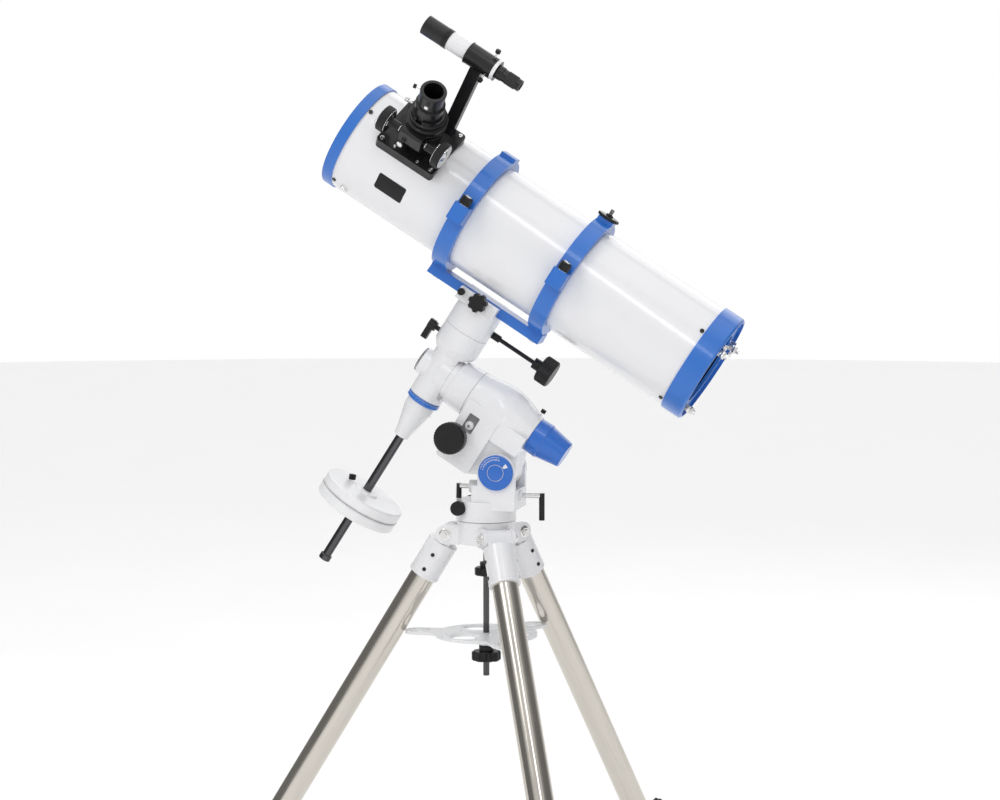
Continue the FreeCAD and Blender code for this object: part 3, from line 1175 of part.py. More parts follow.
def focus_pinion():
    pinion = extruded("YZ_Plane", pinion_profile(), dim.pinion_width)
    inner, hub_end, overlap = dim.wheel_at, dim.wheel_at + 1, 4
    shaft = rod(dim.pinion_shaft_radius, "x", (0, 0), (-inner - overlap, inner + overlap))
    hubs = [rod(dim.wheel_hub_radius, "x", (0, 0), span)
            for span in ((dim.wheel_hub_at, hub_end), (-hub_end, -dim.wheel_hub_at))]
    wheels = [placed(round_knob(dim.wheel_radius, dim.wheel_depth),
                     at(inner * side, 0, 0, turn("y", 90 * side)))
              for side in (1, -1)]
    publish(fuse(pinion, shaft, *hubs, *wheels), "focus_pinion",
            FOCUSER * at(0, -dim.pinion_aside, dim.pinion_level))


# ---------------------------------------------------------------- finder (finder frame)

def finder_bracket():
    """The holder ring and the arm that stands on the focuser's saddle plate."""
    half, overlap = dim.arm_width / 2, 0.5
    barrel = turned([(dim.holder_bore, dim.holder_front), (dim.holder_radius, dim.holder_front),
                     (dim.holder_radius, dim.holder_back), (dim.holder_bore, dim.holder_back)])
    arm = block((dim.arm_foot - dim.finder_offset, -dim.holder_bore - overlap), (-half, half),
                (dim.arm_front, dim.arm_back))
    to_focuser = FINDER.inverse() * FOCUSER
    plate_half, plate_side, gap, rise = dim.plate_length / 2, dim.plate_width / 2, 0.3, 4
    plate_room = block((-plate_half, plate_half), (-plate_side, plate_side), (dim.plate_low, dim.plate_top))
    housing_room = rod(dim.flange_radius + gap, "z", (0, 0), (dim.plate_low, dim.focuser_top + rise))
    publish(cut(fuse(barrel, arm), placed(plate_room, to_focuser), placed(housing_room, to_focuser)),
            "finder_bracket", FINDER)


def finder_tube():
    bore, body, shade, lip = dim.finder_bore, dim.finder_radius, dim.shade_radius, dim.finder_flange
    gap = 0.7
    flange = dim.holder_back + gap
    publish(turned([(bore, dim.finder_front), (shade, dim.finder_front), (shade, dim.shade_back),
                    (body, dim.shade_back), (body, flange), (lip, flange), (lip, dim.finder_back),
                    (bore, dim.finder_back)]), "finder_tube", FINDER)


def finder_eyepiece():
    radius, hole = dim.eyepiece_radius, dim.eye_hole_radius
    start, end = dim.finder_back + 0.1, dim.eyepiece_back
    spigot, spigot_depth, collar, dish = dim.finder_bore - 0.05, 5, 10, 4
    publish(turned([(0, start - spigot_depth), (spigot, start - spigot_depth), (spigot, start),
                    (dim.eyepiece_collar, start), (dim.eyepiece_collar, start + collar),
                    (radius, start + collar + 1),
                    (radius - 1, end), (hole, end), (hole - 1, end - dish), (0, end - dish)]),
            "finder_eyepiece", FINDER)


# ---------------------------------------------------------------- the whole telescope

def build():
    tripod_head()
    leg_hinge_bolts()
    for leg in (1, 2, 3):
        leg_bracket(leg)
        leg_tube(leg)
        lower_leg(leg)
    centre_rod()
    rod_knob()
    accessory_tray()
    tray_knob()
    azimuth_base()
    azimuth_knob("azimuth_knob_near", -1)
    azimuth_knob("azimuth_knob_far", 1)
    altitude_bolts()
    latitude_scale()
    polar_housing()
    ra_axle()
    ra_worm_wheel()
    ra_worm()
    ra_slow_control()
    polar_cap()
    dec_housing()
    dec_axle()
    dec_worm_wheel()
    dec_clutch_lever()
    dec_circle()
    shaft_taper()
    counterweight_shaft()
    counterweights()
    saddle()
    dec_slow_control()
    saddle_knob()
    dovetail_bar()
    ring_lower_halves()
    ring_upper("ring_upper_front", dim.front_ring_at, False)
    ring_upper("ring_upper_rear", dim.rear_ring_at, True)
    ring_knob("ring_knob_front", dim.front_ring_at)
    ring_knob("ring_knob_rear", dim.rear_ring_at)
    camera_screw()
    main_tube()
    front_ring()
    rear_ring()
    mirror_cell()
    primary_mirror()
    collimation_bolts()
    spider()
    secondary_mirror()
    tube_screws()
    focuser_body()
    drawtube()
    focus_pinion()
    finder_bracket()
    finder_tube()
    finder_eyepiece()


def check():
    """Stop before anything is written when a feature or a piece is not sound."""
    doc.recompute()
    faults = [item.Name for item in doc.Objects if "Invalid" in item.State or "Error" in item.State]
    faults += [piece.Label for piece in pieces if piece.Shape.isNull() or not piece.Shape.isValid()]
    if faults:
        raise RuntimeError("Not sound: " + ", ".join(faults))


def export():
    os.makedirs("parts", exist_ok=True)
    for piece in pieces:
        piece.Shape.exportStep(f"parts/{piece.Label}.step")


build()
check()
export()
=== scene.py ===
"""Looks of a newtonian reflector telescope on an equatorial mount and a steel tripod.

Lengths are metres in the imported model's frame: +Z up, the near side is -Y.
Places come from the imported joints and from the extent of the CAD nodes.
"""

import json
import math

import bmesh
import bpy
import numpy as np
from mathutils import Matrix, Vector


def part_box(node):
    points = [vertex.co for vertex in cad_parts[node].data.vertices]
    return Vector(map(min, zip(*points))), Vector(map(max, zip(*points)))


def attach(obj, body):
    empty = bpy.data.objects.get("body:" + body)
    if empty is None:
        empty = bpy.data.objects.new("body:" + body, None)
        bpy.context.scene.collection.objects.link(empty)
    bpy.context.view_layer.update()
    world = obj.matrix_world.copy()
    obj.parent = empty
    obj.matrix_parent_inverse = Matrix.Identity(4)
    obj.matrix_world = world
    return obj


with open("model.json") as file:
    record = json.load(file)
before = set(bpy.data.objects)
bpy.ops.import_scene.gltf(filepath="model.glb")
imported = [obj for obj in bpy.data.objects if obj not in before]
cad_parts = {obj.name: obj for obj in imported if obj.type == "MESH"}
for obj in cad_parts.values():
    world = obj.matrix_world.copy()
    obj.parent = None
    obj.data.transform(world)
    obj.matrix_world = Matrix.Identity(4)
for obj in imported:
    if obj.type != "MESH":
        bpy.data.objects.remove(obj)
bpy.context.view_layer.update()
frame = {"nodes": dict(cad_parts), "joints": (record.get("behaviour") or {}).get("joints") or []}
NODES = frame["nodes"]
JOINTS = {joint["name"]: joint for joint in frame["joints"]}
MM = 0.001


# ---------------------------------------------------------------- frames

def axes_at(origin, x_axis, z_axis):
    """A placement from its origin, X and Z directions."""
    z_dir = Vector(z_axis).normalized()
    x_dir = (Vector(x_axis) - z_dir * Vector(x_axis).dot(z_dir)).normalized()
    turned = Matrix((x_dir, z_dir.cross(x_dir), z_dir)).transposed()
    return Matrix.Translation(Vector(origin)) @ turned.to_4x4()


def extent(node, origin, direction):
    """Lowest and highest reach of a CAD node along a direction from an origin."""
    corners = np.empty(len(NODES[node].data.vertices) * 3)
    NODES[node].data.vertices.foreach_get("co", corners)
    reach = (corners.reshape(-1, 3) - np.array(origin)) @ np.array(direction)
    return float(reach.min()), float(reach.max())


def reach(node, place, axis="z"):
    """Extent of a node along one axis of a placement, in metres."""
    column = place.col["xyz".index(axis)].to_3d()
    return extent(node, place.translation, column)


def shifted(place, x=0.0, y=0.0, z=0.0):
    return place @ Matrix.Translation((x, y, z))


def turned(place, axis, degrees):
    return place @ Matrix.Rotation(math.radians(degrees), 4, axis.upper())


POLAR_AXIS = Vector(JOINTS["ra_axis"]["axis"])
DEC_AXIS = Vector(JOINTS["dec_axis"]["axis"])
HEAD = axes_at(JOINTS["ra_axis"]["pos_m"], POLAR_AXIS, DEC_AXIS)
TUBE_MIDDLE = Vector(JOINTS["tube_roll"]["pos_m"])
TUBE_LINE = axes_at(TUBE_MIDDLE, DEC_AXIS, JOINTS["tube_roll"]["axis"])
TUBE = shifted(TUBE_LINE, z=reach("front_ring", TUBE_LINE)[0])
WHEEL_SPOT = Vector(JOINTS["focus_wheel_turn"]["pos_m"])
OUT_OF_TUBE = Vector(JOINTS["focus_travel"]["axis"])
AXIS_SPOT = TUBE.translation + POLAR_AXIS * (WHEEL_SPOT - TUBE.translation).dot(POLAR_AXIS)
FOCUSER = axes_at(AXIS_SPOT, JOINTS["focus_wheel_turn"]["axis"], OUT_OF_TUBE)
WHEELS = axes_at(WHEEL_SPOT, JOINTS["focus_wheel_turn"]["axis"], OUT_OF_TUBE)
FINDER = axes_at(JOINTS["finder_focus_turn"]["pos_m"],
                 Vector(JOINTS["finder_focus_turn"]["pos_m"]) - TUBE.translation,
                 JOINTS["finder_focus_turn"]["axis"])
FINDER = shifted(FINDER, z=-(FINDER.translation - TUBE.translation).dot(POLAR_AXIS))
PIVOT = Vector(JOINTS["altitude_tilt"]["pos_m"])
HEAD_TOP = Vector((0.0, 0.0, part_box("azimuth_base")[0].z))
LEGS = (1, 2, 3)


def around_tube(along, degrees, radius):
    """A placement on the tube: Z points outward at that turn, X runs down the tube."""
    spot = turned(shifted(TUBE, z=along), "z", degrees)
    outward = spot.col[0].to_3d()
    return axes_at(spot.translation + outward * radius, POLAR_AXIS, outward)


def leg_place(leg):
    """Origin at the leg's hinge, Z up the leg, X away from the tripod's centre."""
    hinge = Vector(JOINTS[f"leg_fold_{leg}"]["pos_m"])
    down = Vector(JOINTS[f"leg_extend_{leg}"]["axis"])
    return axes_at(hinge, Vector((hinge.x, hinge.y, 0.0)), -down)


# ---------------------------------------------------------------- materials

class Nodes:
    """Small helper that adds and links shader nodes."""

    def __init__(self, name):
        self.material = bpy.data.materials.new(name)
        self.material.use_nodes = True
        self.tree = self.material.node_tree
        self.shader = self.tree.nodes["Principled BSDF"]
        self.place = self.add("ShaderNodeTexCoord").outputs["Object"]

    def add(self, kind, **settings):
        node = self.tree.nodes.new(kind)
        for key, value in settings.items():
            setattr(node, key, value)
        return node

    def link(self, source, target):
        self.tree.links.new(source, target)

    def set(self, **values):
        for key, value in values.items():
            self.shader.inputs[key.replace("_", " ")].default_value = value

    def noise(self, scale, detail=4.0, source=None):
        node = self.add("ShaderNodeTexNoise")
        node.inputs["Scale"].default_value = scale
        node.inputs["Detail"].default_value = detail
        self.link(source or self.place, node.inputs["Vector"])
        return node.outputs["Fac"]

    def spread(self, value, low, high):
        """Maps 0..1 noise, which stays near the middle, to low..high."""
        node = self.add("ShaderNodeMapRange")
        node.inputs["From Min"].default_value = 0.3
        node.inputs["From Max"].default_value = 0.7
        node.inputs["To Min"].default_value = low
        node.inputs["To Max"].default_value = high
        self.link(value, node.inputs["Value"])
        return node.outputs["Result"]

    def blend(self, value, first, second):
        node = self.add("ShaderNodeMix", data_type="RGBA")
        self.link(value, node.inputs["Factor"])
        node.inputs["A"].default_value = (*first, 1.0)
        node.inputs["B"].default_value = (*second, 1.0)
        return node.outputs["Result"]

    def bump(self, height, strength, distance):
        node = self.add("ShaderNodeBump")
        node.inputs["Strength"].default_value = strength
        node.inputs["Distance"].default_value = distance
        self.link(height, node.inputs["Height"])
        self.link(node.outputs["Normal"], self.shader.inputs["Normal"])

    def mottle(self, scale, detail, first, second):
        """Base colour that wanders between two colours."""
        amount = self.spread(self.noise(scale, detail), 0.0, 1.0)
        self.link(self.blend(amount, first, second), self.shader.inputs["Base Color"])

    def gloss(self, scale, low, high, detail=4.0):
        """Roughness that wanders between two values."""
        self.link(self.spread(self.noise(scale, detail), low, high), self.shader.inputs["Roughness"])


def tint(colour, share):
    return tuple(min(1.0, channel * share) for channel in colour)


def coated(name, colour, roughness, grain, depth, metallic=0.0, coat=0.0, contrast=0.06, shine=0.5):
    """Paint, enamel or moulded plastic: faint mottling, uneven gloss and a fine surface grain."""
    nodes = Nodes(name)
    nodes.mottle(28.0, 3.0, tint(colour, 1.0 - contrast), tint(colour, 1.0 + contrast))
    nodes.gloss(140.0, roughness * 0.93, roughness * 1.08)
    nodes.bump(nodes.noise(grain, 2.0), 0.35, depth)
    nodes.set(Metallic=metallic, Coat_Weight=coat, Coat_Roughness=0.06, Specular_IOR_Level=shine)
    return nodes.material


def drawn_steel(name, colour, roughness, place, stretch=60.0):
    """Polished metal with fine lines along the placement's Z axis."""
    nodes = Nodes(name)
    mapping = nodes.add("ShaderNodeMapping", vector_type="TEXTURE")
    mapping.inputs["Location"].default_value = place.translation
    mapping.inputs["Rotation"].default_value = place.to_euler()
    nodes.link(nodes.place, mapping.inputs["Vector"])
    squeeze = nodes.add("ShaderNodeMapping")
    squeeze.inputs["Scale"].default_value = (1.0, 1.0, 1.0 / stretch)
    nodes.link(mapping.outputs["Vector"], squeeze.inputs["Vector"])
    lines = nodes.noise(900.0, 3.0, squeeze.outputs["Vector"])
    colours = nodes.blend(nodes.spread(lines, 0.0, 1.0), tint(colour, 0.93), tint(colour, 1.05))
    nodes.link(colours, nodes.shader.inputs["Base Color"])
    nodes.gloss(14.0, roughness * 0.75, roughness * 1.35)
    nodes.bump(lines, 0.08, 0.00001)
    nodes.set(Metallic=1.0)
    return nodes.material


def cast_iron_paint(name, colour):
    """Thick paint over the rough skin of cast iron."""
    nodes = Nodes(name)
    nodes.mottle(40.0, 6.0, tint(colour, 0.95), tint(colour, 1.03))
    nodes.gloss(200.0, 0.3, 0.45)
    nodes.bump(nodes.noise(320.0, 4.0), 0.5, 0.00018)
    nodes.set(Coat_Weight=0.2, Coat_Roughness=0.15)
    return nodes.material


def clear_glass(name, colour):
    """A dark lens whose colour turns violet at grazing angles: a painted reflection of its coating."""
    nodes = Nodes(name)
    coating_reflection = nodes.add("ShaderNodeLayerWeight")
    coating_reflection.inputs["Blend"].default_value = 0.35
    # Painted reflection: the base colour turns violet towards the lens's edges, where the coating would
    # reflect.
    colours = nodes.blend(coating_reflection.outputs["Facing"], colour, (0.25, 0.1, 0.32))
    nodes.link(colours, nodes.shader.inputs["Base Color"])
    nodes.gloss(60.0, 0.02, 0.05)
    nodes.set(Metallic=0.0, Coat_Weight=1.0, Coat_Roughness=0.02, IOR=1.6)
    return nodes.material


def silvered(name):
    """A front-silvered mirror with the faintest haze."""
    nodes = Nodes(name)
    nodes.mottle(20.0, 2.0, (0.9, 0.92, 0.94), (0.95, 0.96, 0.97))
    nodes.gloss(80.0, 0.01, 0.03)
    nodes.set(Metallic=1.0)
    return nodes.material


def frosted(name):
    """Milky plastic that lets a little light through."""
    nodes = Nodes(name)
    nodes.mottle(30.0, 3.0, (0.84, 0.85, 0.86), (0.87, 0.88, 0.89))
    nodes.gloss(120.0, 0.25, 0.4, 3.0)
    nodes.bump(nodes.noise(900.0, 2.0), 0.2, 0.00001)
    nodes.set(Transmission_Weight=0.12, IOR=1.45)
    return nodes.material


WHITE = coated("white_enamel", (0.8, 0.8, 0.815), 0.26, 420.0, 0.00002, coat=0.45, contrast=0.008)
TUBE_WHITE = coated("white_tube_enamel", (0.81, 0.81, 0.825), 0.22, 260.0, 0.00001, coat=0.5,
                    contrast=0.006)
BLUE = coated("blue_enamel", (0.016, 0.15, 0.56), 0.32, 900.0, 0.00001, coat=0.3, contrast=0.02)
BLUE_PLASTIC = coated("blue_plastic", (0.014, 0.13, 0.53), 0.24, 700.0, 0.00001, coat=0.3,
                      contrast=0.02)
BLACK_METAL = coated("black_anodised", (0.009, 0.009, 0.01), 0.3, 700.0, 0.00003, coat=0.15,
                     contrast=0.2, shine=0.35)
BLACK_PLASTIC = coated("black_plastic", (0.008, 0.008, 0.009), 0.38, 900.0, 0.00004, coat=0.04,
                       contrast=0.2, shine=0.3)
FLAT_BLACK = coated("flat_black", (0.008, 0.008, 0.008), 0.8, 1400.0, 0.00008, contrast=0.2)
RUBBER = coated("black_rubber", (0.02, 0.02, 0.021), 0.65, 600.0, 0.0001, contrast=0.2)
# Painted shade: a grey laid on white paint and iron as lines where shade falls in gaps between parts and in
# recesses.
SHADE_GREY = coated("painted_shade_grey", (0.2, 0.2, 0.21), 0.5, 500.0, 0.00002)
WHITE_INK = coated("white_ink", (0.8, 0.8, 0.8), 0.45, 500.0, 0.00002)
CHROME = drawn_steel("bright_chrome", (0.78, 0.77, 0.76), 0.12, Matrix.Identity(4), stretch=4.0)
DARK_CHROME = drawn_steel("black_chrome", (0.1, 0.1, 0.105), 0.16, axes_at((0, 0, 0), POLAR_AXIS, DEC_AXIS))
BRASS = coated("machined_brass", (0.55, 0.36, 0.11), 0.25, 800.0, 0.00003, metallic=1.0)
ALUMINIUM = coated("cast_aluminium", (0.35, 0.35, 0.36), 0.45, 500.0, 0.00012, metallic=0.8,
                   contrast=0.08)
MIRROR = silvered("silvered_glass")
LENS = clear_glass("coated_glass", (0.02, 0.03, 0.05))
TRAY = frosted("frosted_plastic")
WEIGHT = cast_iron_paint("painted_iron", (0.84, 0.84, 0.85))
LEG_STEEL = {leg: drawn_steel(f"leg_steel_{leg}", (0.62, 0.585, 0.53), 0.16, leg_place(leg))
             for leg in LEGS}


# ---------------------------------------------------------------- mesh tools

WELD = 1e-7          # points nearer than this are one point
BEVEL_FROM = 0.6     # edges sharper than this angle, in radians, are rounded


def new_mesh(name, spots, faces):
    mesh = bpy.data.meshes.new(name)
    mesh.from_pydata([tuple(spot) for spot in spots], [], faces)
    mesh.update()
    return mesh


def shade(mesh, sharp_degrees):
    mesh.shade_smooth()
    mesh.set_sharp_from_angle(angle=math.radians(sharp_degrees))


def piece(name, mesh, place, body, material, slot, bevel=0.0):
    """Adds a detail piece that rides on a body, with its sharp edges rounded by bevel."""
    solid = bmesh.new()
    solid.from_mesh(mesh)
    bmesh.ops.remove_doubles(solid, verts=solid.verts, dist=WELD)
    if bevel:
        sharp = [edge for edge in solid.edges if edge.is_manifold and edge.calc_face_angle() > BEVEL_FROM]
        bmesh.ops.bevel(solid, geom=sharp, offset=bevel, segments=3, profile=0.5, affect="EDGES",
                        clamp_overlap=True)
    bmesh.ops.recalc_face_normals(solid, faces=solid.faces)
    solid.to_mesh(mesh)
    solid.free()
    shade(mesh, 35.0)
    item = bpy.data.objects.new(name, mesh)
    bpy.context.scene.collection.objects.link(item)
    item.matrix_world = place
    mesh.materials.append(material)
    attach(item, body)


def rings(layers):
    """A closed skin through rings of equal point count, capped at both ends."""
    count = len(layers[0])
    spots = [spot for layer in layers for spot in layer]
    faces = []
    for row in range(len(layers) - 1):
        for i in range(count):
            near, far = row * count + i, row * count + (i + 1) % count
            faces.append((near, far, far + count, near + count))
    last = (len(layers) - 1) * count
    faces.append(tuple(reversed(range(count))))
    faces.append(tuple(range(last, last + count)))
    return new_mesh("skin", spots, faces)


def circle(radius, height, segments=64):
    angles = (2 * math.pi * i / segments for i in range(segments))
    return [(radius * math.cos(a), radius * math.sin(a), height) for a in angles]


def lathe(profile, segments=64):
    """A solid turned about Z from (radius, height) pairs listed from bottom to top."""
    return rings([circle(max(radius, 1e-6), height, segments) for radius, height in profile])


def ring_lathe(profile, segments=96):
    """A ring turned about Z from a closed (radius, height) outline."""
    count = len(profile)
    spots = []
    for i in range(segments):
        angle = 2 * math.pi * i / segments
        spots += [(r * math.cos(angle), r * math.sin(angle), h) for r, h in profile]
    faces = []
    for i in range(segments):
        here, there = i * count, (i + 1) % segments * count
        for j in range(count):
            after = (j + 1) % count
            faces.append((here + j, there + j, there + after, here + after))
    return new_mesh("ring", spots, faces)


def fluted(radius, depth, flutes, groove, edge, steps=8):
    """A knob on Z with grooves along its rim and ends rounded by edge."""
    count = flutes * steps

    def layer(height, shrink):
        spots = []
        for i in range(count):
            angle = 2 * math.pi * i / count
            dip = groove * (0.5 - 0.5 * math.cos(angle * flutes)) ** 2
            size = radius - dip - shrink
            spots.append((size * math.cos(angle), size * math.sin(angle), height))
        return spots

    return rings([layer(0, edge), layer(edge * 0.3, edge * 0.3), layer(edge, 0), layer(depth - edge, 0),
                  layer(depth - edge * 0.3, edge * 0.3), layer(depth, edge)])


def slab(outline, low, high):
    """A flat outline in XY raised from low to high."""
    return rings([[(x, y, low) for x, y in outline], [(x, y, high) for x, y in outline]])


def rounded_outline(wide, tall, corner, steps=6):
    """A rectangle in XY round the origin, with round corners."""
    spots = []
    for cx, cy, start in ((1, 1, 0), (-1, 1, 90), (-1, -1, 180), (1, -1, 270)):
        for i in range(steps + 1):
            angle = math.radians(start + 90 * i / steps)
            spots.append((cx * (wide / 2 - corner) + corner * math.cos(angle),
                          cy * (tall / 2 - corner) + corner * math.sin(angle)))
    return spots


def sweep(path, radius, sides=12):
    """A round bar along a list of points."""
    points = [Vector(spot) for spot in path]
    layers = []
    side = None
    for i, spot in enumerate(points):
        ahead = points[min(i + 1, len(points) - 1)] - points[max(i - 1, 0)]
        ahead.normalize()
        if side is None:
            side = ahead.orthogonal().normalized()
        side = (side - ahead * side.dot(ahead)).normalized()
        up = ahead.cross(side)
        angles = (2 * math.pi * k / sides for k in range(sides))
        layers.append([spot + side * radius * math.cos(a) + up * radius * math.sin(a) for a in angles])
    return rings(layers)


def coil(radius, height, turns, steps):
    """The points of a helix that climbs Z from the origin."""
    count = int(turns * steps)
    return [(radius * math.cos(2 * math.pi * i / steps), radius * math.sin(2 * math.pi * i / steps),
             height * i / count) for i in range(count + 1)]


def joined(meshes):
    """One mesh from several, each with its own placement."""
    solid = bmesh.new()
    for mesh, place in meshes:
        mesh.transform(place)
        solid.from_mesh(mesh)
    result = bpy.data.meshes.new("joined")
    solid.to_mesh(result)
    solid.free()
    return result


def numeral(text, size):
    """Dial figures as a thin raised mesh centred on the origin in XY."""
    curve = bpy.data.curves.new("figure", "FONT")
    curve.body = text
    curve.size = size
    curve.align_x = "CENTER"
    curve.align_y = "CENTER"
    curve.extrude = 0.00004
    curve.resolution_u = 3
    holder = bpy.data.objects.new("figure", curve)
    mesh = bpy.data.meshes.new_from_object(holder)
    bpy.data.objects.remove(holder)
    bpy.data.curves.remove(curve)
    return mesh


# ---------------------------------------------------------------- finishes of the CAD nodes

def paint(node, *materials):
    """Gives a CAD node its finish; a second material is for the faces that choose() picks."""
    slots = NODES[node].data.materials
    slots.clear()
    for material in materials:
        slots.append(material)


def choose(node, test):
    """Faces that pass the test take the node's second material."""
    for face in NODES[node].data.polygons:
        if test(face):
            face.material_index = 1


FINISH = {
    WHITE: ("tripod_head", "leg_bracket_1", "leg_bracket_2", "leg_bracket_3", "azimuth_base",
            "polar_housing", "dec_housing", "saddle", "shaft_taper"),
    BLUE: ("dec_circle", "dovetail_bar", "ring_upper_front", "ring_upper_rear", "ring_lower_halves",
           "front_ring", "rear_ring"),
    BLUE_PLASTIC: ("latitude_scale", "polar_cap"),
    BLACK_METAL: ("focuser_body", "finder_bracket", "camera_screw", "finder_eyepiece"),
    FLAT_BLACK: ("spider",),
    DARK_CHROME: ("counterweight_shaft", "centre_rod"),
    BLACK_PLASTIC: ("rod_knob", "tray_knob", "azimuth_knob_near", "azimuth_knob_far",
                    "ra_slow_control", "dec_slow_control", "dec_clutch_lever", "saddle_knob",
                    "ring_knob_front", "ring_knob_rear", "focus_pinion"),
    CHROME: ("leg_hinge_bolts", "collimation_bolts", "dec_axle", "ra_axle"),
    BRASS: ("ra_worm_wheel", "ra_worm", "dec_worm_wheel"),
    TRAY: ("accessory_tray",),
    WEIGHT: ("counterweights",),
    MIRROR: ("primary_mirror", "secondary_mirror"),
    ALUMINIUM: ("mirror_cell",),
}


def paint_legs():
    """Steel tubes, with a rubber boot on the foot of each lower leg."""
    boot_height = 0.062
    for leg in LEGS:
        paint(f"leg_tube_{leg}", LEG_STEEL[leg])
        paint(f"lower_leg_{leg}", LEG_STEEL[leg], RUBBER)
        place = leg_place(leg)
        boot_top = reach(f"lower_leg_{leg}", place)[0] + boot_height
        choose(f"lower_leg_{leg}", lambda face: (place.inverted() @ face.center).z < boot_top)


def paint_tube():
    """White outside and flat black inside, with chrome nuts where the rear ring is bolted."""
    to_tube = TUBE.inverted()
    nut_low, nut_high = 0.034, 0.054

    def inward(face):
        centre = to_tube @ face.center
        facing = to_tube.to_3x3() @ face.normal
        return centre.x * facing.x + centre.y * facing.y < 0.0

    paint("main_tube", TUBE_WHITE, FLAT_BLACK)
    choose("main_tube", inward)
    paint("tube_screws", BLACK_METAL, CHROME)
    choose("tube_screws", lambda face: nut_low < (to_tube @ face.center).z < nut_high)


def paint_finder():
    """A white barrel between a black shade and a black eyepiece end, black inside."""
    to_finder = FINDER.inverted()
    shade_end, inner_radius, flange_start = 0.0812, 0.0148, 0.1705

    def black_part(face):
        centre = to_finder @ face.center
        across = math.hypot(centre.x, centre.y)
        return centre.z < shade_end or centre.z > flange_start or across < inner_radius

    paint("finder_tube", TUBE_WHITE, BLACK_METAL)
    choose("finder_tube", black_part)


def paint_altitude_bolts():
    """Chrome rods with black handles."""
    for end, rod_radius in (("front", 0.0052), ("rear", 0.0062)):
        node = f"altitude_bolt_{end}"
        middle = Vector(JOINTS[f"{node}_turn"]["pos_m"])
        paint(node, CHROME, BLACK_PLASTIC)
        choose(node, lambda face: (face.center - middle).yz.length > rod_radius)


def paint_nodes():
    for material, names in FINISH.items():
        for name in names:
            paint(name, material)
    paint_legs()
    paint_tube()
    paint_finder()
    paint("drawtube", BLACK_METAL)
    paint_altitude_bolts()
    for item in NODES.values():
        shade(item.data, 32.0)


# ---------------------------------------------------------------- details

# A detail's material and the record's slot that it belongs to.
BRIGHT = (CHROME, "bright_metal")
PLASTIC = (BLACK_PLASTIC, "black_plastic")
METAL = (BLACK_METAL, "black_paint")
ENAMEL = (WHITE, "white_paint")
# The next two are painted shade: grey lines on white paint and on iron where shade falls in gaps and
# recesses.
SHADE_LINE = (SHADE_GREY, "white_paint")
MARKS = (WHITE_INK, "white_paint")
IRON = (WEIGHT, "weight_iron")
IRON_SHADE_LINE = (SHADE_GREY, "weight_iron")
GLASS = (LENS, "mirror_glass")


def ring_tube(radius, thickness, sides=16, segments=96):
    """A torus about Z."""
    return ring_lathe([(radius + thickness * math.cos(2 * math.pi * i / sides),
                        thickness * math.sin(2 * math.pi * i / sides)) for i in range(sides)], segments)


def socket_screw(radius, height):
    """A cap screw standing on XY, with a hexagonal socket sunk into a rounded head."""
    rim = radius * 0.12
    hollow = radius * 0.52
    outline = circle(1.0, 0.0, 48)
    hexagon = []
    for x, y, _ in outline:
        angle = math.atan2(y, x) % (math.pi / 3) - math.pi / 6
        size = hollow * math.cos(math.pi / 6) / math.cos(angle)
        hexagon.append((x * size, y * size))
    layers = [[(x * radius, y * radius, 0) for x, y, _ in outline],
              [(x * radius, y * radius, height - rim) for x, y, _ in outline],
              [(x * (radius - rim * 0.3), y * (radius - rim * 0.3), height - rim * 0.3)
               for x, y, _ in outline],
              [(x * (radius - rim), y * (radius - rim), height) for x, y, _ in outline],
              [(x, y, height) for x, y in hexagon],
              [(x, y, height * 0.45) for x, y in hexagon]]
    return rings(layers)


def hex_head(radius, height):
    """A hexagonal head with a chamfered top."""
    top_radius, shoulder = radius * 0.828, height * 0.8
    return rings([circle(radius, 0, 6), circle(radius, shoulder, 6), circle(top_radius, height, 6)])


def thumb_screw(names, place, body, sizes, finish, sunk=MM):
    """A chrome stem on XY with a knurled head at its end, sunk a little onto the stem."""
    knob_radius, knob_depth, stem_radius, stem_length = sizes
    stem = lathe([(stem_radius, 0), (stem_radius, stem_length)], 24)
    piece(names[0], stem, place, body, *BRIGHT)
    head = fluted(knob_radius, knob_depth, 18, knob_radius * 0.12, knob_radius * 0.14, 4)
    piece(names[1], head, shifted(place, z=stem_length - sunk), body, *finish)


def stem_and_head(name):
    return f"{name}_stem", f"{name}_head"


def leg_clamp(leg, place, body):
    """The collar, lug and knob that lock the lower leg, hung below the end of the leg tube."""
    end = reach(f"leg_tube_{leg}", place)[0]
    outer, inner, edge = 0.0262, 0.0198, 0.0015
    top, foot = end + 0.0005, end - 0.048
    collar = ring_lathe([(inner, foot), (outer - edge, foot), (outer, foot + edge), (outer, top - edge),
                         (outer - edge, top), (inner, top)])
    piece(f"leg_collar_{leg}", collar, place, body, *PLASTIC)
    lug_out, lug_up, lug_thick = 0.0245, 0.015, 0.016
    lug = slab(rounded_outline(0.018, 0.03, 0.004), 0.0, lug_thick)
    lug_place = turned(shifted(place, x=lug_out, z=foot + lug_up), "y", 90)
    piece(f"leg_collar_lug_{leg}", lug, lug_place, body, *PLASTIC, bevel=0.0012)
    knob = fluted(0.014, 0.013, 7, 0.0035, 0.002)
    piece(f"leg_clamp_knob_{leg}", knob, shifted(lug_place, z=lug_thick + 2 * MM), body, *PLASTIC)
    stem = lathe([(0.004, 0.0), (0.004, 0.004)], 24)
    piece(f"leg_clamp_stem_{leg}", stem, shifted(lug_place, z=lug_thick - MM), body, *BRIGHT)


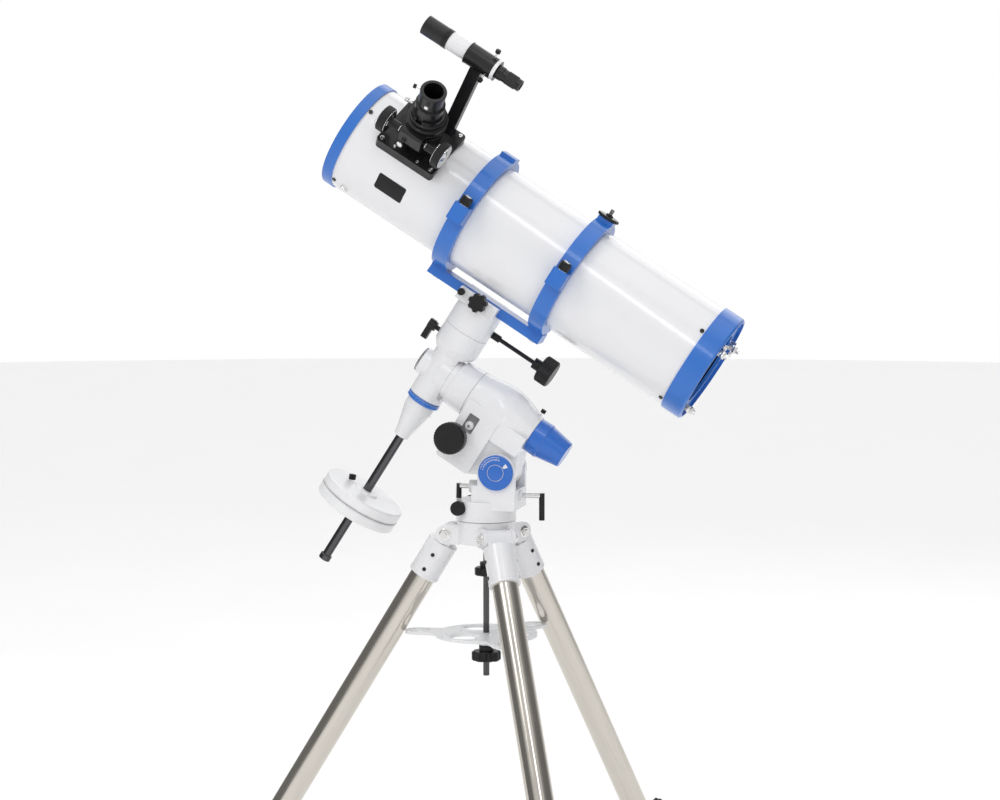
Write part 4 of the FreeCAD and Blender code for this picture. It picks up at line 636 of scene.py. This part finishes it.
def leg_details():
    """Leg clamps, and the screws and lower band of each leg's bracket."""
    screw_out, screw_heights = 0.0249, (0.014, 0.042)
    band_inner, band_outer, band_low, band_high, chamfer = 0.02555, 0.0259, 0.0008, 0.0056, 0.0004
    for leg in LEGS:
        place = leg_place(leg)
        body = f"leg_{leg}"
        leg_clamp(leg, place, body)
        bottom = reach(f"leg_bracket_{leg}", place)[0]
        for side, tag in ((-1, "near"), (1, "far")):
            for row, lift in enumerate(screw_heights, 1):
                spot = turned(shifted(place, y=screw_out * side, z=bottom + lift), "x", -90 * side)
                piece(f"bracket_screw_{leg}_{row}_{tag}", socket_screw(0.0032, 0.0018), spot, body, *METAL)
        band = ring_lathe([(band_inner, bottom + band_low), (band_outer, bottom + band_low + chamfer),
                           (band_outer, bottom + band_high - chamfer), (band_inner, bottom + band_high)])
        piece(f"bracket_band_{leg}", band, place, body, *ENAMEL)


def tripod_details():
    """A painted shade line at the seam under the azimuth base, hinge washers and the centre rod's thread."""
    head_radius, seam_thick = 0.0481, 0.0005
    seam_place = Matrix.Translation((0, 0, HEAD_TOP.z - 0.0006))
    # Painted shade: a grey ring where the azimuth base meets the tripod head.
    piece("head_seam_shade", ring_tube(head_radius, seam_thick), seam_place, "tripod", *SHADE_LINE)
    half_lug = 0.0266
    washer_outline = [(0.0042, 0), (0.0098, 0), (0.0098, 0.0007), (0.0092, 0.0011), (0.0042, 0.0011)]
    for leg in LEGS:
        hinge = Vector(JOINTS[f"leg_fold_{leg}"]["pos_m"])
        line = Vector(JOINTS[f"leg_fold_{leg}"]["axis"])
        for side, tag in ((-1, "a"), (1, "b")):
            away = line * side
            spot = axes_at(hinge + away * half_lug, Vector((0, 0, 1)), away)
            piece(f"hinge_washer_{leg}_{tag}", ring_lathe(washer_outline, 48), spot, "tripod", *BRIGHT)
    rod_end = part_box("centre_rod")[0].z
    pitch, radius, threaded, wire = 0.0014, 0.00505, 0.08, 0.00035
    thread = sweep(coil(radius, threaded, int(threaded / pitch), 16), wire, 5)
    piece("centre_rod_thread", thread, Matrix.Translation((0, 0, rod_end + MM)), "tripod", DARK_CHROME,
          "black_paint")


def tick_mark(half_width, low, high, thick):
    """A line on a dial, from one height to another along Y."""
    return slab([(-half_width, low), (half_width, low), (half_width, high), (-half_width, high)], 0, thick)


def mount_details():
    """The latitude dial's marks, figures, boss and pointer."""
    dial_low, dial_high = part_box("latitude_scale")
    radius = (dial_high.x - dial_low.x) / 2
    face = axes_at((PIVOT.x, dial_low.y, PIVOT.z), (1, 0, 0), (0, -1, 0))
    scale_start, tick_inset, figure_inset, figure_size = -15, 0.0022, 0.0072, 0.0034
    long_tick, short_tick = 0.0028, 0.0017
    marks = []

    def on_rim(degrees, inset):
        return turned(Matrix.Identity(4), "z", degrees) @ Matrix.Translation((0, radius - inset, 0))

    for step in range(0, 91, 2):
        length = long_tick if step % 10 == 0 else short_tick
        marks.append((tick_mark(0.00013, -length, 0, 0.00012), on_rim(scale_start + step, tick_inset)))
    for step in range(0, 91, 10):
        figure = numeral(str(90 - step), figure_size)
        marks.append((figure, on_rim(scale_start + step, figure_inset)))
    piece("latitude_marks", joined(marks), shifted(face, z=0.00005), "polar", *MARKS)
    boss = lathe([(0.0125, 0), (0.0125, 0.0012), (0.0115, 0.0022), (0.0085, 0.0026), (0.0, 0.0026)], 64)
    piece("latitude_dial_boss", boss, face, "polar", BLUE_PLASTIC, "blue_paint")
    boss_ring = ring_tube(0.0131, 0.0004)
    piece("latitude_dial_ring", boss_ring, shifted(face, z=0.0002), "polar", *MARKS)
    pointer_turn = -57
    pointer = slab([(-0.0035, 0.0225), (0.0035, 0.0225), (0.0014, 0.0152), (-0.0014, 0.0152)], 0, 0.0005)
    piece("latitude_pointer", pointer, turned(face, "z", pointer_turn), "polar", *MARKS, bevel=0.0001)


def window_details():
    """The small window on the near side of the polar housing, with a dial behind it; its back and rim are
    painted shade in grey.
    """
    window = axes_at(HEAD @ Vector((0.094, -0.0431, -0.0345)), POLAR_AXIS, -HEAD.col[1].to_3d())
    back_thick, dial_drop = 0.0003, 0.004
    back = slab(rounded_outline(0.0172, 0.0282, 0.0008), 0, back_thick)
    # Painted shade: a grey sheet at the back of the window's recess.
    piece("window_back", back, window, "polar", *SHADE_LINE)
    dial_place = shifted(window, y=-dial_drop)
    dial = lathe([(0.0072, 0), (0.0072, 0.0012), (0.0066, 0.0016), (0, 0.0016)], 48)
    piece("window_dial", dial, shifted(dial_place, z=back_thick), "polar", *ENAMEL)
    spokes = 24
    marks = [(tick_mark(0.0001, 0.0048, 0.0064, 0.0001), turned(Matrix.Identity(4), "z", 360 / spokes * step))
             for step in range(spokes)]
    piece("window_marks", joined(marks), shifted(dial_place, z=0.0019), "polar", FLAT_BLACK, "black_paint")
    piece("window_screw", socket_screw(0.0026, 0.0018), shifted(dial_place, z=0.0018), "polar", *BRIGHT)
    outline = rounded_outline(0.0184, 0.0294, 0.0012)
    rim_height, rim_thick = 0.0028, 0.0005
    rim = sweep([(x, y, rim_height) for x, y in outline + outline[:2]], rim_thick, 8)
    # Painted shade: a grey rim round the window's edge.
    piece("window_rim_shade", rim, window, "polar", *SHADE_LINE)


def housing_details():
    """Window, set screw and painted shade lines at the polar housing's seams, and the declination port with a
    painted shade ring.
    """
    window_details()
    screw_along, screw_up = 0.1775, 0.0295
    spot = axes_at(HEAD @ Vector((screw_along, 0, screw_up)), POLAR_AXIS, DEC_AXIS)
    thumb_screw(("polar_set_stem", "polar_set_screw"), spot, "polar", (0.0042, 0.006, 0.0016, 0.009), PLASTIC)
    barrel_radius, seam_thick = 0.0411, 0.0003
    down_axis = turned(HEAD, "y", 90)
    for name, along in (("barrel", 0.066), ("collar", 0.152)):
        # Painted shade: grey rings where the housing's parts meet.
        seam = ring_tube(barrel_radius, seam_thick, segments=128)
        piece(f"{name}_seam", seam, shifted(down_axis, z=along), "polar", *SHADE_LINE)
    port = shifted(turned(HEAD, "y", -90), z=-reach("dec_housing", HEAD, "x")[0])
    # Painted shade: a grey ring round the port's cover.
    piece("port_shade_ring", ring_tube(0.0205, 0.0006), port, "ra", *SHADE_LINE)
    disc = lathe([(0.0196, 0), (0.0196, 0.0004), (0.019, 0.0008), (0, 0.0008)], 64)
    piece("port_disc", disc, port, "ra", *ENAMEL)


def dec_details():
    """Setting circle marks, the weights' hub and lock, a painted shade line between the weights, and the
    saddle's second screw.
    """
    high = reach("dec_circle", HEAD)[1]
    radius = max(reach("dec_circle", HEAD, "y"))
    long_tick, short_tick, below_rim = 0.0034, 0.002, 0.0006
    upright = Matrix.Rotation(math.pi / 2, 4, "Y") @ Matrix.Rotation(math.pi / 2, 4, "Z")
    marks = []
    for step in range(0, 360, 5):
        tall = long_tick if step % 15 == 0 else short_tick
        rim = turned(Matrix.Identity(4), "z", step) @ Matrix.Translation((radius, 0, high - below_rim))
        marks.append((tick_mark(0.00014, 0, -tall, 0.00012), rim @ upright))
    piece("dec_circle_marks", joined(marks), HEAD, "dec", *MARKS)
    lower, upper = reach("counterweights", HEAD)
    hub = ring_lathe([(0.0078, 0), (0.0205, 0), (0.0205, 0.0022), (0.019, 0.0035), (0.0078, 0.0035)])
    piece("weight_hub", hub, shifted(HEAD, z=upper), "weights", *IRON)
    lock_out, lock_sunk, lock_lean = 0.028, 0.002, -24
    spot = turned(shifted(HEAD, x=-lock_out, z=upper - lock_sunk), "y", lock_lean)
    thumb_screw(("weight_lock_stem", "weight_lock_knob"), spot, "weights", (0.0058, 0.009, 0.0028, 0.007),
                PLASTIC)
    # Painted shade: a grey ring in the gap between the two stacked weights.
    weight_radius, seam_thick = 0.0702, 0.00035
    seam = ring_tube(weight_radius, seam_thick, segments=128)
    piece("weight_seam_shade", seam, shifted(HEAD, z=(lower + upper) / 2), "weights", *IRON_SHADE_LINE)
    jaw = reach("saddle", HEAD, "y")[0]
    level = (HEAD.inverted() @ Vector(JOINTS["saddle_knob_turn"]["pos_m"])).z
    beside_knob = 0.033
    spot = axes_at(HEAD @ Vector((-beside_knob, jaw, level)), POLAR_AXIS, -HEAD.col[1].to_3d())
    thumb_screw(("saddle_safety_stem", "saddle_safety_screw"), spot, "dec", (0.0062, 0.008, 0.0026, 0.006),
                PLASTIC, sunk=2 * MM)


def bar_details():
    """Bolts that hold the rings to the bar."""
    underside = reach("dovetail_bar", HEAD)[0]
    for name in ("front", "rear"):
        low, high = reach(f"ring_upper_{name}", HEAD, "x")
        spot = turned(shifted(HEAD, x=(low + high) / 2, z=underside), "x", 180)
        piece(f"bar_bolt_{name}", hex_head(0.0065, 0.0045), spot, "bar", *BRIGHT, bevel=0.0003)
        washer = ring_lathe([(0.003, 0), (0.0082, 0), (0.0082, 0.0008), (0.003, 0.0008)], 48)
        piece(f"bar_washer_{name}", washer, shifted(spot, z=-0.0001), "bar", *BRIGHT)


def ring_details():
    """A chrome washer under each ring clamp knob and a chrome cap on it."""
    knob_depth, washer_drop = 0.0142, 0.0004
    for name in ("front", "rear"):
        centre = HEAD.inverted() @ Vector(JOINTS[f"ring_knob_{name}_turn"]["pos_m"])
        top = reach(f"ring_knob_{name}", HEAD)[1]
        spot = shifted(HEAD, x=centre.x, y=centre.y, z=top - knob_depth - washer_drop)
        washer = ring_lathe([(0.0031, 0), (0.0085, 0), (0.0085, 0.0022), (0.0031, 0.0022)], 48)
        piece(f"ring_knob_{name}_washer", washer, spot, f"knob_{name}", *BRIGHT)
        cap = lathe([(0.0055, 0), (0.0055, 0.0016), (0.0045, 0.0024), (0, 0.0024)], 40)
        spot = shifted(HEAD, x=centre.x, y=centre.y, z=top)
        piece(f"ring_knob_{name}_cap", cap, spot, f"knob_{name}", *BRIGHT)


def curved_plate(radius, outline, thick):
    """A thin plate with a flat-sided outline, bent round a tube that runs along X."""
    skin = ((0.0001, 1.0), (thick * 0.7, 1.0), (thick, 0.985), (thick, 0.8), (thick, 0.6), (thick, 0.4),
            (thick, 0.2), (thick, 0.02))
    layers = []
    for lift, share in skin:
        layer = []
        for x, y in outline:
            angle, out = y * share / radius, radius + lift
            layer.append((x * share, out * math.sin(angle), out * math.cos(angle) - radius))
        layers.append(layer)
    return rings(layers)


def tube_details():
    """The blank plate and the screws of the focuser's base."""
    plate_turn, plate_along, plate_thick = 110, 0.118, 0.0006
    radius = max(reach("main_tube", TUBE, "x"))
    plate = curved_plate(radius, rounded_outline(0.052, 0.028, 0.0035), plate_thick)
    piece("blank_plate", plate, around_tube(plate_along, plate_turn, radius), "tube", *PLASTIC)
    base_top, screw_x, screw_y, tilt_x, tilt_y = 0.094, 0.047, 0.043, 0.022, -0.044
    ends = ((-1, "front"), (1, "rear"))
    for way, end in ends:
        for side, tag in ((-1, "near"), (1, "far")):
            spot = shifted(FOCUSER, x=screw_x * way, y=screw_y * side, z=base_top)
            piece(f"focuser_screw_{end}_{tag}", socket_screw(0.0036, 0.0026), spot, "tube", *BRIGHT)
    for way, end in ends:
        spot = shifted(FOCUSER, x=tilt_x * way, y=tilt_y, z=base_top)
        piece(f"focuser_tilt_screw_{end}", socket_screw(0.0028, 0.0022), spot, "tube", *BRIGHT)


def outward(place, radius, degrees, height):
    """A placement at a turn about the place's Z whose own Z points away from that axis."""
    arm = turned(shifted(place, z=height), "z", degrees)
    return axes_at(arm.translation + arm.col[0].to_3d() * radius, place.col[2].to_3d(), arm.col[0].to_3d())


def grooved(radius, low, high, ridges, depth):
    """A turned band of round ridges one above the other."""
    pitch = (high - low) / ridges
    crest = radius + depth
    profile = []
    for ridge in range(ridges):
        base = low + ridge * pitch
        profile += [(radius, base), (crest, base + pitch * 0.25), (crest, base + pitch * 0.75)]
    inner = radius - 2 * MM
    return ring_lathe(profile + [(radius, high), (inner, high), (inner, low)])


def knurl(radius, low, high, ribs, depth, steps=4):
    """A straight-ribbed grip round a disc, open inside."""
    count = ribs * steps
    inner = radius - 1.2 * MM

    def loop(height, shrink):
        spots = []
        for i in range(count):
            angle = 2 * math.pi * i / count
            size = radius + depth * (0.5 - 0.5 * math.cos(angle * ribs)) - shrink
            spots.append((size * math.cos(angle), size * math.sin(angle), height))
        return spots

    band = rings([circle(inner, low, count), loop(low, depth), loop(low + depth, 0.0),
                  loop(high - depth, 0.0), loop(high, depth), circle(inner, high, count)])
    solid = bmesh.new()
    solid.from_mesh(band)
    caps = [face for face in solid.faces if len(face.verts) == count]
    bmesh.ops.delete(solid, geom=caps, context="FACES_ONLY")
    ends = sorted((edge for edge in solid.edges if edge.is_boundary), key=lambda edge: edge.verts[0].co.z)
    bmesh.ops.bridge_loops(solid, edges=ends)
    solid.to_mesh(band)
    solid.free()
    return band


def knob_place(node, way=1):
    """A placement on a knob's own joint, with Z along the joint's axis times way."""
    joint = JOINTS[f"{node}_turn"]
    line = Vector(joint["axis"]) * way
    return axes_at(joint["pos_m"], line.orthogonal(), line)


def thick_side(node):
    """+1 or -1: the way along its axis in which a knob's disc lies."""
    place = knob_place(node)
    to_knob = place.inverted()
    spots = (to_knob @ spot.co for spot in NODES[node].data.vertices)
    widest = max(spots, key=lambda at: at.x ** 2 + at.y ** 2)
    low, high = reach(node, place)
    return 1 if high - widest.z < widest.z - low else -1


def grip(name, node, body, ribs, depth, width, way):
    """A ribbed band on the rim of a round knob."""
    place = knob_place(node, way)
    radius = max(reach(node, place, "x"))
    end, inset = reach(node, place)[1], 0.0015
    band = knurl(radius, end - width + inset, end - inset, ribs, depth)
    piece(name, band, place, body, *PLASTIC)


def knob_details():
    """Grips of the round knobs."""
    for axis, ribs, depth, width in (("ra", 36, 0.0006, 0.02), ("dec", 40, 0.0007, 0.024)):
        node = f"{axis}_slow_control"
        grip(f"{axis}_control_grip", node, f"{axis}_control", ribs, depth, width, thick_side(node))
    rib, width = 0.0004, 0.014
    for side in ("near", "far"):
        node = f"azimuth_knob_{side}"
        grip(f"{node}_grip", node, f"{node}_body", 24, rib, width, thick_side(node))
    for end in ("front", "rear"):
        node = f"ring_knob_{end}"
        grip(f"{node}_grip", node, f"knob_{end}", 20, rib, width, 1)


def focus_wheel_details():
    """Grips, chrome faces and caps of the two focus wheels."""
    low, high = reach("focus_pinion", WHEELS, "x")
    wheel_radius, wheel_depth, face_sunk = 0.0215, 0.014, 0.0002
    face_outline = [(0.0082, 0), (0.0196, 0), (0.0196, 0.0008), (0.0188, 0.0012), (0.0165, 0.0006),
                    (0.0115, 0.0006), (0.0105, 0.0014), (0.0082, 0.0014)]
    for name, edge, way in (("front", low, -1), ("rear", high, 1)):
        spot = axes_at(WHEELS @ Vector((edge, 0, 0)), OUT_OF_TUBE, WHEELS.col[0].to_3d() * way)
        band = knurl(wheel_radius, -wheel_depth + MM, -MM, 44, 0.0005)
        piece(f"focus_wheel_{name}_grip", band, spot, "pinion", *PLASTIC)
        outer = shifted(spot, z=-face_sunk)
        inner = turned(shifted(spot, z=-wheel_depth + face_sunk), "x", 180)
        for face, place in (("outer", outer), ("inner", inner)):
            piece(f"focus_wheel_{name}_{face}_face", ring_lathe(face_outline), place, "pinion", *BRIGHT)
        cap = lathe([(0.0083, 0), (0.0083, 0.0012), (0.007, 0.0022), (0, 0.0022)], 48)
        piece(f"focus_wheel_{name}_cap", cap, spot, "pinion", *BRIGHT)


def focuser_details():
    """Thumb screws, beads, the eyepiece adapter's lip and the pinion's bushes."""
    adapter, collar = 0.0205, 0.0285
    thumb_screw(stem_and_head("adapter_screw_side"), outward(FOCUSER, adapter, 190, 0.209), "drawtube_body",
                (0.0036, 0.005, 0.0014, 0.009), METAL)
    thumb_screw(stem_and_head("adapter_screw_near"), outward(FOCUSER, adapter, -78, 0.205), "drawtube_body",
                (0.0034, 0.0045, 0.0014, 0.004), BRIGHT)
    thumb_screw(stem_and_head("focuser_collar_screw"), outward(FOCUSER, collar, 176, 0.156), "tube",
                (0.0042, 0.006, 0.0018, 0.011), BRIGHT)
    lock_place = outward(shifted(FOCUSER, x=-0.012), 0.0435, -90, 0.118)
    thumb_screw(stem_and_head("focuser_lock_screw"), lock_place, "tube",
                (0.0052, 0.004, 0.002, 0.006), BRIGHT)
    beads = (("lower", 0.0332, 0.1395), ("upper", 0.0332, 0.1505), ("neck", 0.0291, 0.1585))
    for name, radius, level in beads:
        piece(f"focuser_bead_{name}", ring_tube(radius, 0.0011), shifted(FOCUSER, z=level), "tube", *METAL)
    lip_level, lip_depth, lip_swell = 0.2142, 0.0032, 0.0008
    lip = ring_lathe([(adapter, 0), (adapter + lip_swell, 0.0006), (adapter + lip_swell, lip_depth - 0.0006),
                      (adapter, lip_depth)])
    piece("adapter_lip", lip, shifted(FOCUSER, z=lip_level), "drawtube_body", *METAL)
    bush_out, inner, outer, half = 0.0285, 0.0032, 0.0058, 0.004
    for way, name in ((-1, "front"), (1, "rear")):
        sleeve = turned(shifted(WHEELS, x=bush_out * way), "y", 90)
        bush = ring_lathe([(inner, -half), (outer, -half), (outer, half), (inner, half)], 40)
        piece(f"pinion_bush_{name}", bush, sleeve, "tube", *BRIGHT)


def finder_details():
    """Lenses, ribs and the thumb screws that aim the finder."""
    front = reach("finder_tube", FINDER)[0]
    glass_sunk, band_low, band_high = 0.03, 0.038, 0.0455
    glass = lathe([(0.0, 0.004), (0.0136, 0.006), (0.0136, 0.009), (0.0095, 0.0104), (0.005, 0.0112),
                   (0.0, 0.0114)])
    glass_place = turned(shifted(FINDER, z=front + glass_sunk), "x", 180)
    piece("finder_objective", glass, glass_place, "finder", *GLASS)
    band = grooved(0.0161, front + band_low, front + band_high, 5, 0.0004)
    piece("finder_shade_band", band, FINDER, "finder", *METAL)
    back = reach("finder_eyepiece", FINDER)[1]
    ribs = grooved(0.01045, back - 0.026, back - 0.008, 8, 0.0004)
    piece("finder_eye_ribs", ribs, FINDER, "finder_eye", RUBBER, "black_plastic")
    lens = lathe([(0.0, 0), (0.006, 0), (0.006, 0.001), (0.003, 0.0017), (0.0, 0.0019)], 48)
    piece("finder_eye_lens", lens, shifted(FINDER, z=back - 0.0039), "finder_eye", *GLASS)
    holder_radius, screw_level, bead_level = 0.0172, 0.159, 0.1168
    for number, degrees in enumerate((0, 120, 240), 1):
        spot = outward(FINDER, holder_radius, degrees, screw_level)
        thumb_screw(stem_and_head(f"finder_aim_screw_{number}"), spot, "tube", (0.0043, 0.006, 0.0015, 0.011),
                    METAL)
    bead = ring_tube(0.0179, 0.0007)
    piece("finder_holder_front_bead", bead, shifted(FINDER, z=bead_level), "tube", *METAL)


def collimation_details():
    """Knurled nuts and springs on the bolts that hold and tilt the mirror cell."""
    plate, bolt_circle, first_turn, lock_turn = 0.697, 0.074, 60, -10
    for number in (1, 2, 3):
        degrees = first_turn + 120 * (number - 1)
        spot = shifted(turned(TUBE, "z", degrees), x=bolt_circle)
        spring = sweep(coil(0.0046, 0.0075, 4, 16), 0.0006, 6)
        piece(f"collimation_spring_{number}", spring, shifted(spot, z=plate), "tube", *BRIGHT)
        nut = fluted(0.0062, 0.007, 16, 0.0006, 0.0008, 4)
        piece(f"collimation_nut_{number}", nut, shifted(spot, z=plate + 0.0078), "tube", *BRIGHT)
        lock = shifted(turned(TUBE, "z", degrees + lock_turn), x=bolt_circle)
        head = socket_screw(0.005, 0.005)
        piece(f"collimation_lock_head_{number}", head, shifted(lock, z=plate + 0.0055), "tube", *BRIGHT)


def camera_details():
    """The lock nut and thread of the camera stud, and the grip of its disc."""
    joint = JOINTS["camera_screw_turn"]
    place = axes_at(joint["pos_m"], POLAR_AXIS, joint["axis"])
    stud_length, nut_height = 0.012, 0.003
    top = reach("camera_screw", place)[1] - stud_length
    disc_grip = knurl(0.0185, top - 0.0045, top - 0.0005, 40, 0.0004)
    piece("camera_disc_grip", disc_grip, place, "camera", *PLASTIC)
    nut = lathe([(0.0062, 0), (0.0062, 0.0022), (0.0052, nut_height), (0.0, nut_height)], 6)
    piece("camera_stud_nut", nut, shifted(place, z=top), "camera", *PLASTIC)
    thread = sweep(coil(0.0031, 0.0085, 7, 16), 0.0002, 5)
    piece("camera_stud_thread", thread, shifted(place, z=top + nut_height), "camera", *BRIGHT)


def build_details():
    leg_details()
    tripod_details()
    mount_details()
    housing_details()
    dec_details()
    bar_details()
    ring_details()
    tube_details()
    knob_details()
    focus_wheel_details()
    focuser_details()
    finder_details()
    collimation_details()
    camera_details()


# ---------------------------------------------------------------- stage, light and camera

def stage_floor():
    """A plain pale disc that glows a little, so that shadows on it stay light."""
    floor_radius, floor_thick = 14.0, 0.004
    mesh = lathe([(floor_radius, -floor_thick), (floor_radius, 0.0)], 128)
    floor = bpy.data.objects.new("floor", mesh)
    bpy.context.scene.collection.objects.link(floor)
    nodes = Nodes("pale_floor")
    nodes.mottle(3.0, 4.0, (0.9, 0.9, 0.9), (0.92, 0.92, 0.92))
    nodes.set(Roughness=0.7, Emission_Color=(1.0, 1.0, 1.0, 1.0), Emission_Strength=0.12)
    mesh.materials.append(nodes.material)


def area_light(name, place, target, size, power, tall=None):
    """A soft box turned to the target; sizes in metres, power in watts."""
    data = bpy.data.lights.new(name, "AREA")
    data.shape = "RECTANGLE"
    data.size = size
    data.size_y = tall or size
    data.energy = power
    lamp = bpy.data.objects.new(name, data)
    lamp.location = place
    lamp.rotation_euler = (Vector(target) - Vector(place)).to_track_quat("-Z", "Y").to_euler()
    bpy.context.scene.collection.objects.link(lamp)


def stage_world():
    """White surroundings for the camera, and a studio with darker sides for light and reflections."""
    room_strength, side_share, side_from, side_full = 0.72, 0.28, 0.5, 0.8
    world = bpy.data.worlds.new("studio")
    bpy.context.scene.world = world
    world.use_nodes = True
    tree = world.node_tree
    room = tree.nodes["Background"]
    room.inputs["Strength"].default_value = room_strength
    backdrop = tree.nodes.new("ShaderNodeBackground")
    backdrop.inputs["Color"].default_value = (1.0, 1.0, 1.0, 1.0)
    seen = tree.nodes.new("ShaderNodeLightPath")
    mixed = tree.nodes.new("ShaderNodeMixShader")
    tree.links.new(seen.outputs["Is Camera Ray"], mixed.inputs["Fac"])
    tree.links.new(room.outputs["Background"], mixed.inputs[1])
    tree.links.new(backdrop.outputs["Background"], mixed.inputs[2])
    tree.links.new(mixed.outputs["Shader"], tree.nodes["World Output"].inputs["Surface"])
    heading = tree.nodes.new("ShaderNodeTexCoord")
    split = tree.nodes.new("ShaderNodeSeparateXYZ")
    tree.links.new(heading.outputs["Generated"], split.inputs["Vector"])
    aside = tree.nodes.new("ShaderNodeMath")
    aside.operation = "ABSOLUTE"
    tree.links.new(split.outputs["X"], aside.inputs[0])
    flags = tree.nodes.new("ShaderNodeMapRange")
    flags.interpolation_type = "SMOOTHSTEP"
    for key, value in (("From Min", side_from), ("From Max", side_full), ("To Min", 1.0),
                       ("To Max", side_share)):
        flags.inputs[key].default_value = value
    tree.links.new(aside.outputs["Value"], flags.inputs["Value"])
    tree.links.new(flags.outputs["Result"], room.inputs["Color"])


def stage_light():
    """Soft boxes on all sides, a narrow one for the highlight along the tube, and a wide ceiling."""
    middle = (0.0, 0.0, 1.0)
    area_light("key", (-1.8, -2.4, 3.8), middle, 1.6, 32.0)
    area_light("fill", (2.6, -3.0, 1.6), middle, 1.4, 6.0, 2.4)
    area_light("back", (0.8, 3.2, 3.0), middle, 2.5, 18.0)
    area_light("strip", (0.9, -2.6, 3.0), middle, 0.25, 9.0, 2.0)
    data = bpy.data.lights.new("ceiling", "SUN")
    data.energy = 0.8
    data.angle = math.radians(70)
    ceiling = bpy.data.objects.new("ceiling", data)
    bpy.context.scene.collection.objects.link(ceiling)


def stage_camera():
    """The photo's view: from the near side, towards the tube's mirror end and a little above the mount."""
    from_head = Vector((0.9756, -4.0609, 0.5536))
    ahead = Vector((-0.227516, 0.970021, -0.085417))
    data = bpy.data.cameras.new("camera")
    data.sensor_width = 36.0
    data.lens = 92.7
    camera = bpy.data.objects.new("camera", data)
    camera.location = HEAD_TOP + from_head
    camera.rotation_euler = ahead.to_track_quat("-Z", "Y").to_euler()
    bpy.context.scene.collection.objects.link(camera)
    bpy.context.scene.camera = camera


paint_nodes()
build_details()
stage_floor()
stage_world()
stage_light()
stage_camera()
bpy.context.scene.view_settings.view_transform = "Standard"
bpy.context.view_layer.update()
